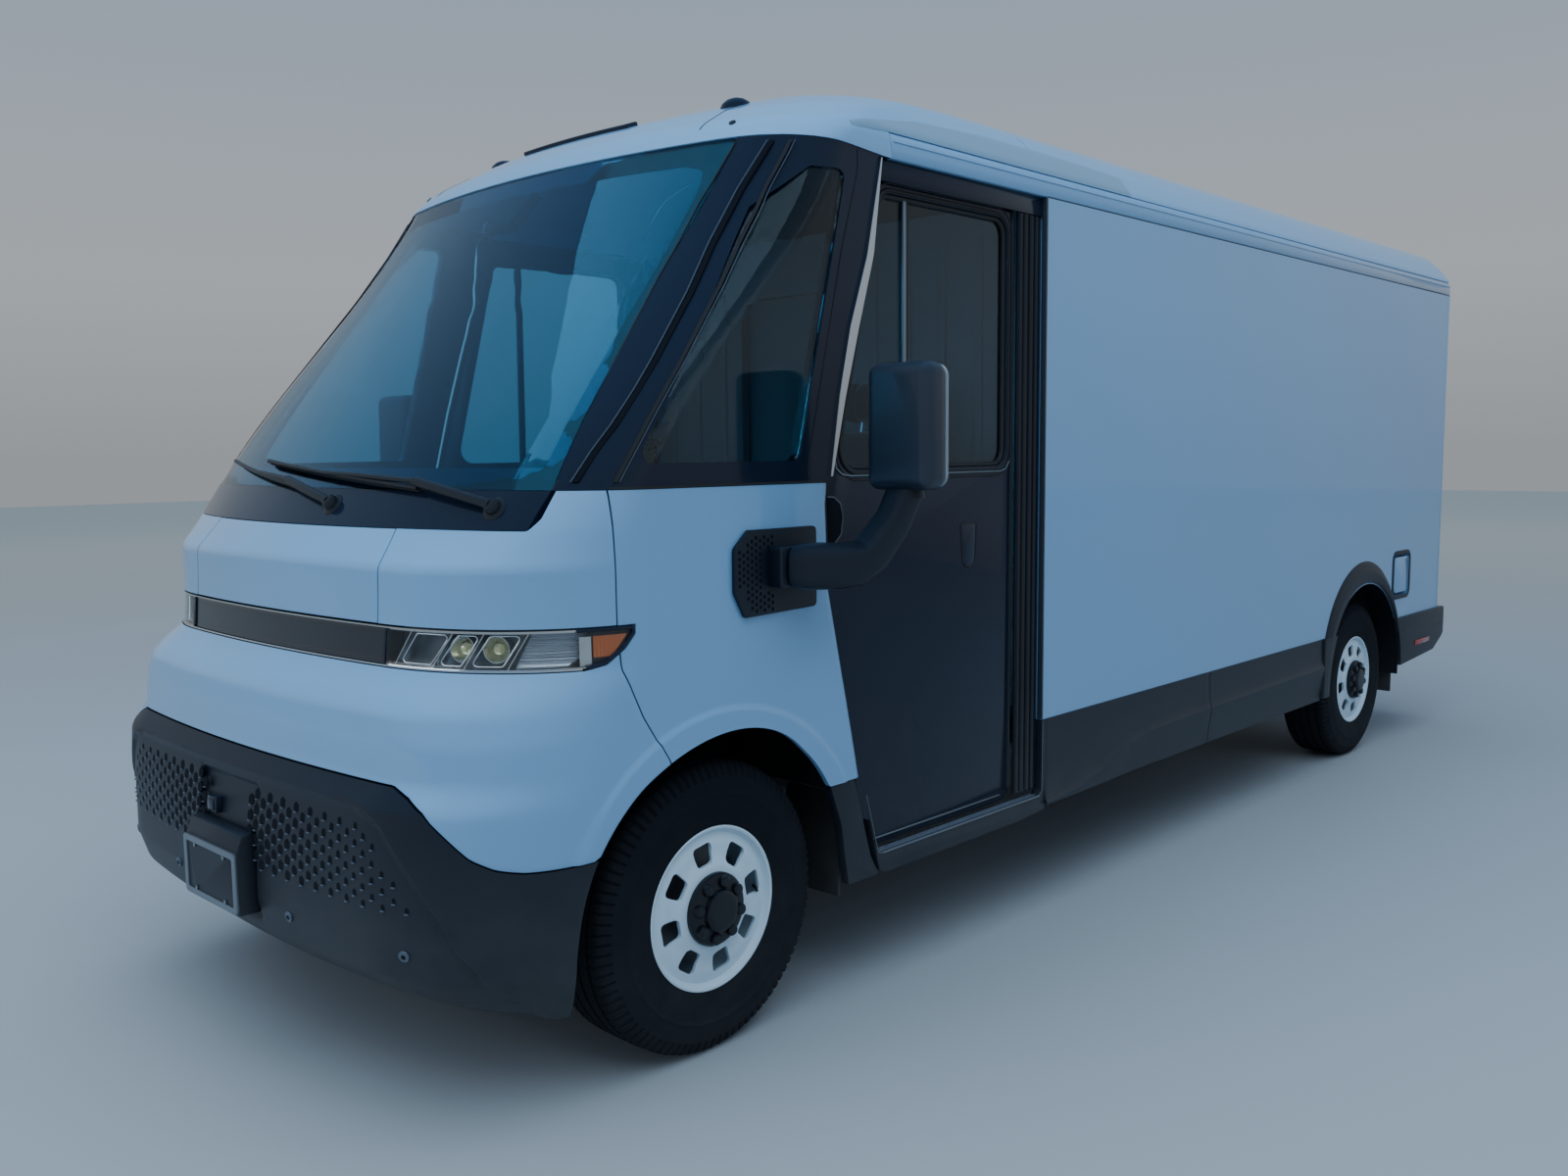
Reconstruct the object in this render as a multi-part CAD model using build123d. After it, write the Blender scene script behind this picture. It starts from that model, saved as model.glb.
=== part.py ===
"""Electric delivery van: an assembly of separate pieces, in millimetres, +Z up.

The van faces -Y and +X is its left side.  Lengths along the van are first given as distances
behind the front axle, and every piece is moved at the end so that the origin is on the ground
under the middle of the van's box.
"""
import os

from build123d import *

# ---------------------------------------------------------------- driving dimensions
WHEELBASE = 4660.0
HALF_WIDTH = 1040.0            # half the body's width, without the mirrors
FRONT_END = -935.0             # front face of the number plate
REAR_OVERHANG = 1140.0         # from the rear axle to the rear face of the body
STEP_DEPTH = 135.0             # how far the back step stands out behind the body
ROOF_TOP = 2760.0

TYRE_RADIUS = 402.0
TYRE_WIDTH = 245.0
RIM_RADIUS = 217.0             # bead seat of the steel wheel
WHEEL_OUTER_X = HALF_WIDTH - 45.0  # outer sidewall of every tyre
SPINDLE_RADIUS = 35.0
SPINDLE_FIT = 0.05             # radial running clearance between spindle and hub
KINGPIN_X = WHEEL_OUTER_X - 205.0

PANEL_T = 30.0                 # cab skin panels
GLASS_T = 8.0
WALL_T = 110.0                 # whole side wall of the load space, with the door pocket inside
SEAM = 4.0                     # gap between neighbouring panels
MOVE_GAP = 8.0                 # clearance round a moving panel
SEAT_GAP = 0.3                 # gap between pieces that rest on each other

FRONT_ARCH_RADIUS = 495.0
REAR_ARCH_RADIUS = 509.0
FLARE_RADIUS = 535.0           # outer edge of the dark band over the rear wheel
FLARE_MIDDLE = (-54.0, 497.0)  # its middle: distance behind the rear axle, and height

BELT_Z = 1542.0                # bottom of the cab's windows
COWL_Z = 1449.0                # top of the hood
LAMP_TOP_Z = 1212.0
LAMP_BOTTOM_Z = 1113.0
LAMP_SPLIT_X = 565.0           # where the light bar ends and the lamp starts
LAMP_INSET = 8.0               # how far the lamps lie behind the panels' surface
ROOF_JOINT_Z = 2497.0          # top of the windscreen
WALL_TOP_Z = 2473.0            # top of the side walls and of the doors' opening
RAIL_TOP_Z = 2548.0            # top of the cant rail above them
WALL_BOTTOM_Z = 685.0

CARGO_FRONT = 1540.0           # front edge of the load space's side walls
CARGO_REAR = WHEELBASE + REAR_OVERHANG
REAR_END = CARGO_REAR + STEP_DEPTH
LOAD_FLOOR_Z = 720.0
LOAD_FLOOR_T = 40.0
CAB_FLOOR_T = 30.0
CAB_FLOOR_Z = 630.0
STEP_Z = 420.0

DOOR_T = 40.0
DOOR_OUTER_X = HALF_WIDTH - 40.0   # outer face of the sliding doors
DOOR_REAR = 1395.0
DOOR_TRAVEL = 850.0
POCKET_LENGTH = DOOR_REAR + DOOR_TRAVEL + 40.0 - CARGO_FRONT

REAR_DOOR_T = 45.0
REAR_DOOR_FRONT = CARGO_REAR + 6.0
REAR_DOOR_MEET = 7.0           # each rear door's distance from the middle
HINGE_X = HALF_WIDTH - 40.0    # rear doors' hinge line
HINGE_Y = REAR_DOOR_FRONT + REAR_DOOR_T + 6.0
HINGE_PIN_R = 6.0
HINGE_FIT = 0.05               # radial clearance round each hinge pin
HINGE_HEIGHTS = (900.0, 1560.0, 2220.0)

BULKHEAD_T = 40.0
BULKHEAD_OPENING = (-430.0, 170.0)
BULKHEAD_DOOR_OVERLAP = 35.0
BULKHEAD_DOOR_TOP = 2285.0

FLAP_LOW = (WHEELBASE + 400.0, 826.0)    # charging flap's corners, (y, z)
FLAP_HIGH = (WHEELBASE + 608.0, 1020.0)
FLAP_CORNER = 30.0
FLAP_T = 8.0
FLAP_GAP = 14.0
FLAP_AXIS_Y = FLAP_LOW[0] - 6.0          # its hinge line lies in the body's outer surface
FLAP_PIN_R = 2.0
FLAP_BARREL_H = 25.0
FLAP_BARRELS = (866.0, 955.0)            # undersides of its two hinge barrels
INLET_DEPTH = 60.0

PLATE_SIZE = (305.0, 152.0)
PLATE_T = 6.0
PLATE_Z = 516.0
PLATE_HOLES = (178.0, 121.0)   # spacing of the plate's fixing holes
PLATE_HOLE_R = 3.5

RAIL_X = 400.0                 # middle of each chassis rail
RAIL_W = 80.0
RAIL_H = 130.0
RAIL_TOP = 600.0
MEMBER_W = 70.0                # cross members between the rails
BEARER_W = 60.0                # bearers from the rails to the load floor

LOWER_ARM_Z = TYRE_RADIUS - 144.0  # undersides and thicknesses of the front wheel's two arms
LOWER_ARM_T = 26.0
UPPER_ARM_Z = TYRE_RADIUS + 122.0
UPPER_ARM_T = 22.0
BEAM_RADIUS = 45.0             # rear axle beam

REAR_AXLE_Y = WHEELBASE
WHEEL_X = WHEEL_OUTER_X - TYRE_WIDTH / 2
MIDDLE_Y = (FRONT_END + REAR_END) / 2


# ---------------------------------------------------------------- shape helpers
def box(x, y, z):
    """A block from x[0] to x[1], y[0] to y[1] and z[0] to z[1]."""
    size = (x[1] - x[0], y[1] - y[0], z[1] - z[0])
    middle = ((x[0] + x[1]) / 2, (y[0] + y[1]) / 2, (z[0] + z[1]) / 2)
    return Pos(*middle) * Box(*size)


def outline(points, radius):
    """A closed flat outline through the points, with its corners rounded."""
    if radius:
        return FilletPolyline(*points, radius=radius, close=True)
    return Polyline(*points, close=True)


def slab_x(points, x, radius=0):
    """An outline of (y, z) points, extruded from x[0] to x[1]."""
    wire = outline([(x[0], y, z) for y, z in points], radius)
    return extrude(make_face(wire), amount=x[1] - x[0], dir=(1, 0, 0))


def slab_y(points, y, radius=0):
    """An outline of (x, z) points, extruded from y[0] to y[1]."""
    wire = outline([(px, y[0], z) for px, z in points], radius)
    return extrude(make_face(wire), amount=y[1] - y[0], dir=(0, 1, 0))


def slab_z(points, z, radius=0):
    """An outline of (x, y) points, extruded from z[0] to z[1]."""
    wire = outline([(px, y, z[0]) for px, y in points], radius)
    return extrude(make_face(wire), amount=z[1] - z[0], dir=(0, 0, 1))


def bar_x(x, y, z, radius):
    """A round bar along X."""
    bar = Rot(0, 90, 0) * Cylinder(radius, x[1] - x[0])
    return Pos((x[0] + x[1]) / 2, y, z) * bar


def rod(start, end, radius):
    """A round bar between any two points."""
    axis = Vector(*end) - Vector(*start)
    plane = Plane(origin=start, z_dir=axis)
    return extrude(plane * Circle(radius), amount=axis.length)


def other_side(shape):
    """The same shape on the van's other side."""
    return mirror(shape, about=Plane.YZ)


def both_sides(shape):
    """The shape and its mirror image, as two solids of one node."""
    return [shape, other_side(shape)]


# ---------------------------------------------------------------- the body's outer surface
# Each station is a level curve round the front of the body: its height, y at the middle,
# (x, y) where the shallow front arc ends, half width, y where the straight side starts.
# They are drawn for a half width of STATION_WIDTH, and a wider van stretches them sideways.
STATION_WIDTH = 1040.0
STATIONS = [
    (262, -735, 600, -690, 1000, -450),
    (300, -800, 620, -760, 1012, -455),
    (380, -880, 650, -845, 1026, -460),
    (470, -902, 650, -872, 1034, -465),
    (650, -898, 650, -870, 1038, -450),
    (800, -878, 650, -857, 1040, -440),
    (856, -838, 690, -802, 1040, -420),
    (950, -836, 680, -798, 1040, -390),
    (1020, -826, 650, -792, 1040, -340),
    (1060, -800, 610, -768, 1040, -310),
    (1113, -738, 545, -714, 1040, -260),
    (1212, -730, 560, -704, 1040, -255),
    (1358, -737, 660, -680, 1040, -270),
    (1449, -675, 800, -561, 1040, -270),
    (1542, -600, 800, -498, 1040, -250),
    (2020, -206, 780, -115, 1040, 130),
    (2497, 170, 760, 252, 1038, 500),
    (2560, 223, 743, 303, 1030, 595),
    (2630, 335, 700, 428, 976, 718),
    (2690, 500, 655, 580, 915, 930),
    (2730, 685, 572, 755, 845, 1400),
    (2760, 1025, 425, 1075, 715, 1530),
]
CORNER_FULLNESS = 0.6          # how far the front corners reach out, 0.55 being near a circle


def station(z):
    """The level curve at any height, straight between its two neighbours."""
    for low, high in zip(STATIONS, STATIONS[1:]):
        if low[0] <= z <= high[0]:
            share = (z - low[0]) / (high[0] - low[0])
            _, y0, x2, y2, half, side = [a + share * (b - a) for a, b in zip(low, high)]
            wider = HALF_WIDTH / STATION_WIDTH
            return y0, x2 * wider, y2, half * wider, side
    raise ValueError(f"no station at {z}")


def corner_curve(x, y, slope, half, side, z):
    """Left front corner: from the front arc's end, round to the straight side."""
    meet_y = y + slope * (half - x)
    reach = CORNER_FULLNESS
    first = (x + reach * (half - x), y + reach * (meet_y - y), z)
    second = (half, side + reach * (meet_y - side), z)
    return Bezier((x, y, z), first, second, (half, side, z))


def level_face(z, rear, inset):
    """The body's plan at one height, drawn in by inset all round the front and sides."""
    y0, x2, y2, half, side = station(z)
    x2 = x2 * (half - inset) / half
    half, side, y0, y2 = half - inset, side + inset, y0 + inset, y2 + inset
    bow = y2 - y0
    radius = (x2 * x2 + bow * bow) / (2 * bow)
    slope = x2 / (radius - bow)
    front = ThreePointArc((-x2, y2, z), (0, y0, z), (x2, y2, z))
    left = corner_curve(x2, y2, slope, half, side, z)
    right = mirror(left, about=Plane.YZ)
    sides = Polyline((half, side, z), (half, rear, z), (-half, rear, z), (-half, side, z))
    return make_face([front, left, right, sides])


def body(bottom, top, rear, inset=0.0):
    """The body as a solid between two heights."""
    levels = [bottom] + [s[0] for s in STATIONS if bottom < s[0] < top] + [top]
    return loft([level_face(z, rear, inset) for z in levels], ruled=True)


def shell(bottom, top, rear, thickness, inset=0.0):
    """The body's wall between two heights: open above, below and behind."""
    inner = body(bottom, top, rear + 1, inset + thickness)
    return body(bottom, top, rear, inset) - inner


def glazed_shell(bottom, top, rear, thickness, inset=0.0):
    """The same wall from the hood's top to the roof, curved smoothly from level to level."""
    levels = [s[0] for s in STATIONS if COWL_Z <= s[0] <= ROOF_JOINT_Z]
    outer = loft([level_face(z, rear, inset) for z in levels])
    inner = loft([level_face(z, rear + 1, inset + thickness) for z in levels])
    return (outer - inner) & box((-HALF_WIDTH - 60, HALF_WIDTH + 60), (-1200, rear + 2), (bottom, top))


# ---------------------------------------------------------------- cab skin
# The side seam between the front corner and the fender, the bumper's upper edge and the
# doorway's front edge, as (y, z) or (x, z) points.
FENDER_SEAM = [(-355, BELT_Z), (-350, 1224), (-341, 1106), (-281, 979), (-205, 862), (-60, 560)]
BUMPER_EDGE = [(0, 856), (736, 854), (795, 834), (852, 804), (898, 751), (940, 698), (975, 670),
               (1006, 656), (1140, 648)]
DOOR_FRONT = [(655, WALL_TOP_Z), (619, 2190), (553, 1984), (494, 1788), (439, 1576), (428, 1480),
              (438, 1241), (619, STEP_Z)]
WINDSCREEN_EDGE = [(HALF_WIDTH - 135, COWL_Z), (HALF_WIDTH - 122, BELT_Z), (HALF_WIDTH - 156, 1850),
                   (HALF_WIDTH - 194, 2100), (HALF_WIDTH - 204, ROOF_JOINT_Z)]
HOOD_SEAM = [(505, COWL_Z), (529, 1362), (529, LAMP_TOP_Z)]
WIDE = (-1300, 1300)           # x range that takes in the whole van


def ahead_of_seam(gap=0.0):
    """Everything in front of the fender seam."""
    line = [(y - gap, z) for y, z in FENDER_SEAM]
    return slab_x([(-1200, 1700), (line[0][0], 1700)] + line + [(-1200, 560)], WIDE)


def below_bumper_edge():
    """Everything under the line where the white panels stop and the bumper starts."""
    wider = HALF_WIDTH / STATION_WIDTH
    right = [(x * wider, z) for x, z in BUMPER_EDGE]
    left = [(-x, z) for x, z in reversed(right[1:])]
    return slab_y([(left[0][0], 200)] + left + right + [(right[-1][0], 200)], (-1100, 0))


def arch_space(y, radius):
    """The round space over a wheel."""
    round_part = bar_x(WIDE, y, TYRE_RADIUS, radius)
    return round_part + box(WIDE, (y - radius, y + radius), (0, TYRE_RADIUS))


def lamp_zone(grow=0.0):
    """The slot round the front that holds the lamps and the bar between them."""
    low = LAMP_BOTTOM_Z - grow
    high = LAMP_TOP_Z + grow
    points = [(-1000, low), (-430, low), (-379 + grow, low + 11), (-330 + 2 * grow, low + 47),
              (-302 + 2 * grow, high - 20), (-300 + 2 * grow, high), (-1000, high)]
    return slab_x(points, WIDE)


def lower_cab():
    """Bumper, fascia, hood, corners, lamps and bar, all cut from one wall."""
    wall = shell(262, COWL_Z, 0, PANEL_T)
    wall -= arch_space(0, FRONT_ARCH_RADIUS)
    bumper = wall & below_bumper_edge()
    bumper &= box(WIDE, (-1100, -380), (200, 900))
    pad = box((-165, 165), (FRONT_END + PLATE_T + SEAT_GAP, -885), (PLATE_Z - 86, PLATE_Z + 86))
    bumper = (bumper + pad) - plate_holes()
    white = (wall - below_bumper_edge()) & ahead_of_seam(SEAM)
    fascia = (white & box(WIDE, (-1100, 100), (500, LAMP_TOP_Z))) - lamp_zone(SEAM)
    upper = white & box(WIDE, (-1100, 100), (LAMP_TOP_Z + SEAM, COWL_Z))
    hood = upper & between_hood_seams(0)
    corner = (upper - between_hood_seams(SEAM)) & box((0, HALF_WIDTH), (-1100, 100), (1000, 1600))
    corner += glazed_shell(COWL_Z, BELT_Z, 700, PANEL_T) & ahead_of_seam(SEAM) & beside_windscreen()
    lamp_wall = shell(LAMP_BOTTOM_Z - 10, LAMP_TOP_Z + 10, 0, PANEL_T, LAMP_INSET) & lamp_zone(0)
    flange = shell(LAMP_BOTTOM_Z - 14, LAMP_TOP_Z + 14, -40, 12, PANEL_T + SEAT_GAP)
    lamp_wall += flange & lamp_zone(3 * SEAM)
    half_seam = SEAM / 2
    light_bar = lamp_wall & box((half_seam - LAMP_SPLIT_X, LAMP_SPLIT_X - half_seam), (-1000, 0),
                                (1000, 1300))
    lamp = lamp_wall & box((LAMP_SPLIT_X + half_seam, HALF_WIDTH), (-1000, 0), (1000, 1300))
    return bumper, fascia, hood, corner, light_bar, lamp


def between_hood_seams(gap):
    """Everything between the seams on the two sides of the hood."""
    left = [(x + gap, z) for x, z in HOOD_SEAM]
    right = [(-x, z) for x, z in reversed(left)]
    return slab_y(right + left, (-1100, 100))


def beside_windscreen():
    """Everything on the van's left of the windscreen and cowl."""
    edge = WINDSCREEN_EDGE
    return slab_y([(edge[0][0], 1300)] + edge + [(edge[-1][0], 2600), (WIDE[1], 2600), (WIDE[1], 1300)],
                  (-1100, 1100))


def ahead_of_door(gap):
    """Everything in front of the doorway."""
    edge = [(y - gap, z) for y, z in DOOR_FRONT]
    foot = (DOOR_FRONT[-1][0] - gap, 100)
    return slab_x([(-1200, 2600), (edge[0][0], 2600)] + edge + [foot, (-1200, 100)], WIDE)


def fender():
    """Front side panel from the seam to the doorway, down to the wheel arch."""
    wall = shell(CAB_FLOOR_Z + 20, BELT_Z, 640, PANEL_T)
    wall &= box((HALF_WIDTH - 340, HALF_WIDTH), (-500, 700), (600, 1600))
    panel = (wall & ahead_of_door(2 * SEAM)) - ahead_of_seam(0)
    panel -= arch_space(0, FRONT_ARCH_RADIUS)
    return panel - lamp_zone(SEAM)


def windscreen_and_cowl():
    """The big curved glass and the dark panel under it."""
    glass_wall = glazed_shell(BELT_Z, ROOF_JOINT_Z, 900, GLASS_T, 2)
    half = [(x - SEAM, z) for x, z in WINDSCREEN_EDGE]
    zone = slab_y([(-x, z) for x, z in half] + [(x, z) for x, z in reversed(half)], (-1100, 420))
    cowl_wall = glazed_shell(COWL_Z, BELT_Z, 700, PANEL_T)
    return glass_wall & zone, cowl_wall & zone


QUARTER_WINDOW = [(-285, 1605), (295, 1605), (470, 2290), (500, 2412), (375, 2410), (200, 2286)]
QUARTER_CORNER = 25.0


def cab_frame():
    """Dark pillars round the fixed side window, from the windscreen to the doorway."""
    thick = PANEL_T + 10
    wall = glazed_shell(BELT_Z, WALL_TOP_Z, 700, thick) & ahead_of_door(2 * SEAM)
    top = glazed_shell(WALL_TOP_Z, ROOF_JOINT_Z, 700, thick)
    frame = (wall + top) & beside_windscreen()
    window = slab_x(QUARTER_WINDOW, (HALF_WIDTH - 540, WIDE[1]), QUARTER_CORNER)
    glass = glazed_shell(BELT_Z, ROOF_JOINT_Z, 900, GLASS_T, 6) & window
    return frame - window, glass


def roof():
    """Front cap and long roof: one domed shell, split across the van."""
    outer = body(RAIL_TOP_Z, ROOF_TOP, CARGO_REAR)
    inner = body(RAIL_TOP_Z, ROOF_TOP - PANEL_T, CARGO_REAR + 1, PANEL_T)
    whole = outer - inner
    lip = shell(ROOF_JOINT_Z, RAIL_TOP_Z, 700, PANEL_T)
    split = CARGO_FRONT
    cap = (whole & box(WIDE, (0, split - SEAM), (2400, 2800))) + lip
    panel = whole & box(WIDE, (split, CARGO_REAR), (2400, 2800))
    return cap, panel


def cant_rail():
    """White strip along the top of the side, over the doorway and the side wall."""
    x = (HALF_WIDTH - 60, HALF_WIDTH - 4)
    return box(x, (700 + SEAT_GAP, CARGO_REAR), (WALL_TOP_Z, RAIL_TOP_Z - SEAT_GAP))


# ---------------------------------------------------------------- load space
def side_wall():
    """Whole side wall, hollow at its front end where the sliding door goes in."""
    wall = box((HALF_WIDTH - WALL_T, HALF_WIDTH), (CARGO_FRONT, CARGO_REAR),
               (WALL_BOTTOM_Z, WALL_TOP_Z - SEAT_GAP))
    pocket = box((DOOR_OUTER_X - DOOR_T - MOVE_GAP, DOOR_OUTER_X + MOVE_GAP),
                 (CARGO_FRONT - 1, CARGO_FRONT + POCKET_LENGTH), (600, WALL_TOP_Z + 1))
    wall -= pocket
    return wall - arch_space(REAR_AXLE_Y, REAR_ARCH_RADIUS)


def charge_recess():
    """Recess behind the charging flap, with the flap's clearance round it."""
    low, high = FLAP_LOW, FLAP_HIGH
    gap = FLAP_GAP
    return box((HALF_WIDTH - INLET_DEPTH, HALF_WIDTH + 1), (low[0] - gap, high[0] + gap),
               (low[1] - gap, high[1] + gap))


def flap_brackets():
    """The two ears on the side wall with the charging flap's pins."""
    brackets = Part()
    for z in FLAP_BARRELS:
        ear_y = (FLAP_LOW[0] - FLAP_GAP - 1, FLAP_AXIS_Y + 4)
        brackets += box((HALF_WIDTH - 6, HALF_WIDTH + 4), ear_y, (z - 10, z - SEAT_GAP))
        brackets += Pos(HALF_WIDTH, FLAP_AXIS_Y, z + 10) * Cylinder(FLAP_PIN_R, 30)
    return brackets


def pocket_trim():
    """Dark recessed jamb between the door and the side wall's front edge."""
    x = (DOOR_OUTER_X + MOVE_GAP, HALF_WIDTH - 12)
    return box(x, (DOOR_REAR + 5, CARGO_FRONT - SEAT_GAP), (STEP_Z + 20, WALL_TOP_Z - SEAT_GAP))


DECK_Z = LOAD_FLOOR_Z + 10.0


def load_floor():
    """Floor with a box over each rear wheel and a raised flat deck between the boxes."""
    inner = HALF_WIDTH - WALL_T - SEAT_GAP
    under = LOAD_FLOOR_Z - LOAD_FLOOR_T
    wall = 20
    reach = REAR_ARCH_RADIUS + wall
    top = TYRE_RADIUS + REAR_ARCH_RADIUS + wall
    side = WHEEL_OUTER_X - TYRE_WIDTH - 50
    floor = box((-inner, inner), (CARGO_FRONT, CARGO_REAR - 40), (under, LOAD_FLOOR_Z))
    wheel_box = box((side, inner), (REAR_AXLE_Y - reach, REAR_AXLE_Y + reach), (under, top))
    inside = box((side + wall, inner + 1), (REAR_AXLE_Y - reach + wall, REAR_AXLE_Y + reach - wall),
                 (under - 1, top - wall))
    floor += wheel_box + other_side(wheel_box)
    deck = box((10 - side, side - 10), (CARGO_FRONT + 110, CARGO_REAR - 60), (under, DECK_Z))
    return floor + deck - inside - other_side(inside)


def cab_floor():
    """Cab floor, front wall behind the nose, and a step well inside each door."""
    well_x = HALF_WIDTH - 350
    edge = DOOR_OUTER_X - DOOR_T - MOVE_GAP
    floor = box((-500, 500), (-420, CARGO_FRONT), (CAB_FLOOR_Z - CAB_FLOOR_T, CAB_FLOOR_Z))
    floor += box((-edge, edge), (FRONT_ARCH_RADIUS + 20, CARGO_FRONT),
                 (CAB_FLOOR_Z - CAB_FLOOR_T, CAB_FLOOR_Z))
    for sign in (1, -1):
        x = sorted((sign * well_x, sign * (edge + 1)))
        floor -= box(x, (640, DOOR_REAR), (CAB_FLOOR_Z - 40, CAB_FLOOR_Z + 10))
        tread = sorted((sign * (well_x - 20), sign * edge))
        floor += box(tread, (620, DOOR_REAR + 20), (STEP_Z - 20, STEP_Z))
        riser = sorted((sign * (well_x - 20), sign * well_x))
        floor += box(riser, (620, DOOR_REAR + 20), (STEP_Z - 20, CAB_FLOOR_Z))
        for y in (620, DOOR_REAR):
            floor += box(tread, (y, y + 20), (STEP_Z - 20, CAB_FLOOR_Z))
    firewall = box((-500, 500), (-440, -400), (CAB_FLOOR_Z - CAB_FLOOR_T, COWL_Z - 180))
    return floor + firewall


def wheel_house():
    """Dark inner arch over a front wheel, between the fender and the cab's footwell."""
    reach = FRONT_ARCH_RADIUS + 12
    top = TYRE_RADIUS + FRONT_ARCH_RADIUS + 12
    outer = box((500, HALF_WIDTH - PANEL_T - SEAT_GAP), (-reach + 60, reach), (CAB_FLOOR_Z, top))
    space = box((512, WIDE[1]), (-reach - 1, reach - 12), (0, top - 12))
    return (outer - space) & body(300, 1400, 900, PANEL_T + 1)


def bulkhead():
    """Wall between cab and load space, with a doorway and the track over it."""
    inner = HALF_WIDTH - WALL_T - SEAT_GAP
    back = CARGO_FRONT + BULKHEAD_T
    wall = box((-inner, inner), (CARGO_FRONT, back), (LOAD_FLOOR_Z, WALL_TOP_Z))
    wall -= box(BULKHEAD_OPENING, (CARGO_FRONT - 1, back + 1), (LOAD_FLOOR_Z - 1, 2250))
    track_z = BULKHEAD_DOOR_TOP + SEAT_GAP
    start = BULKHEAD_OPENING[0] - BULKHEAD_DOOR_OVERLAP
    return wall + box((start, inner - 20), (back, back + 45), (track_z, track_z + 30))


def bulkhead_door():
    """Door that slides sideways on the load side of the bulkhead."""
    back = CARGO_FRONT + BULKHEAD_T
    x = (BULKHEAD_OPENING[0] - BULKHEAD_DOOR_OVERLAP, BULKHEAD_OPENING[1] + BULKHEAD_DOOR_OVERLAP)
    return box(x, (back + MOVE_GAP, back + MOVE_GAP + 30), (LOAD_FLOOR_Z + 8, BULKHEAD_DOOR_TOP))


def rear_frame():
    """Portal round the rear doorway."""
    y = (CARGO_REAR - 40, CARGO_REAR)
    inner = HALF_WIDTH - WALL_T - SEAT_GAP
    frame = box((-inner, inner), y, (560, WALL_TOP_Z))
    return frame - box((-inner + 40, inner - 40), (y[0] - 1, y[1] + 1), (LOAD_FLOOR_Z, 2400))


def rear_door():
    """Left rear door: a flat panel with three hinge barrels on its outer edge."""
    y = (REAR_DOOR_FRONT, REAR_DOOR_FRONT + REAR_DOOR_T)
    door = box((REAR_DOOR_MEET, HINGE_X - 14), y, (LOAD_FLOOR_Z + 10, 2440))
    for z in HINGE_HEIGHTS:
        strap = box((HINGE_X - 110, HINGE_X), (y[1], HINGE_Y + 5), (z + 22, z + 58))
        strap += Pos(HINGE_X, HINGE_Y, z + 40) * Cylinder(11, 36)
        door += strap - Pos(HINGE_X, HINGE_Y, z + 40) * Cylinder(HINGE_PIN_R + HINGE_FIT, 40)
    return door


def rear_hinges():
    """Left side's three fixed hinge brackets with their pins."""
    brackets = []
    for z in HINGE_HEIGHTS:
        bracket = Pos(HINGE_X, HINGE_Y, z + 40) * Cylinder(HINGE_PIN_R, 80)
        for ear in (z, z + 60):
            bracket += box((HINGE_X - 9, HINGE_X + 9), (CARGO_REAR + SEAT_GAP, HINGE_Y), (ear, ear + 20))
            bracket += Pos(HINGE_X, HINGE_Y, ear + 10) * Cylinder(11, 20)
        bracket += box((HINGE_X - 9, HINGE_X + 24), (CARGO_REAR + SEAT_GAP, CARGO_REAR + 8), (z, z + 80))
        brackets.append(bracket)
    return brackets


def rear_bumper():
    """Step across the back."""
    step = box((60 - HALF_WIDTH, HALF_WIDTH - 60), (CARGO_REAR + 60, REAR_END), (470, 560))
    return step + box((-600, 600), (CARGO_REAR - 60, CARGO_REAR + 60), (480, 540))


# ---------------------------------------------------------------- cladding
def rocker():
    """Dark moulding along the bottom of the side, in two lengths, with the door sill."""
    outer = HALF_WIDTH + 4
    inner = DOOR_OUTER_X + MOVE_GAP
    seam = REAR_AXLE_Y - 1820
    end = REAR_AXLE_Y - 585
    top = WALL_BOTTOM_Z - SEAT_GAP
    under_door = STEP_Z - 5
    front_foot = [(560, 640), (624, under_door), (CARGO_FRONT, under_door), (CARGO_FRONT, top),
                  (seam - SEAM, top), (seam - SEAM, 379), (1400, 352), (640, 352)]
    front = slab_x(front_foot, (inner, outer))
    back = slab_x([(seam, top), (end, top), (end, 388), (seam, 379)], (inner, outer))
    return front, back


def arch_flare():
    """Dark band round the rear wheel opening, carried on to the rear corner."""
    outer = HALF_WIDTH + 16
    front = REAR_AXLE_Y - 581
    back = CARGO_REAR + 80
    band = bar_x((HALF_WIDTH, outer), REAR_AXLE_Y + FLARE_MIDDLE[0], FLARE_MIDDLE[1], FLARE_RADIUS)
    band &= box((0, outer), (front, CARGO_REAR), (WALL_BOTTOM_Z - 1, 1100))
    lower = slab_x([(front, 388), (front, WALL_BOTTOM_Z), (back, WALL_BOTTOM_Z), (back, 529),
                    (back - 170, 446), (REAR_AXLE_Y + 390, 413)], (DOOR_OUTER_X + MOVE_GAP, outer))
    return band + lower - arch_space(REAR_AXLE_Y, REAR_ARCH_RADIUS)


# ---------------------------------------------------------------- doors
DOOR_WINDOW = [(500, 1575), (1325, 1575), (1325, 2385), (702, 2385)]
DOOR_WINDOW_CORNER = 60.0


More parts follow.
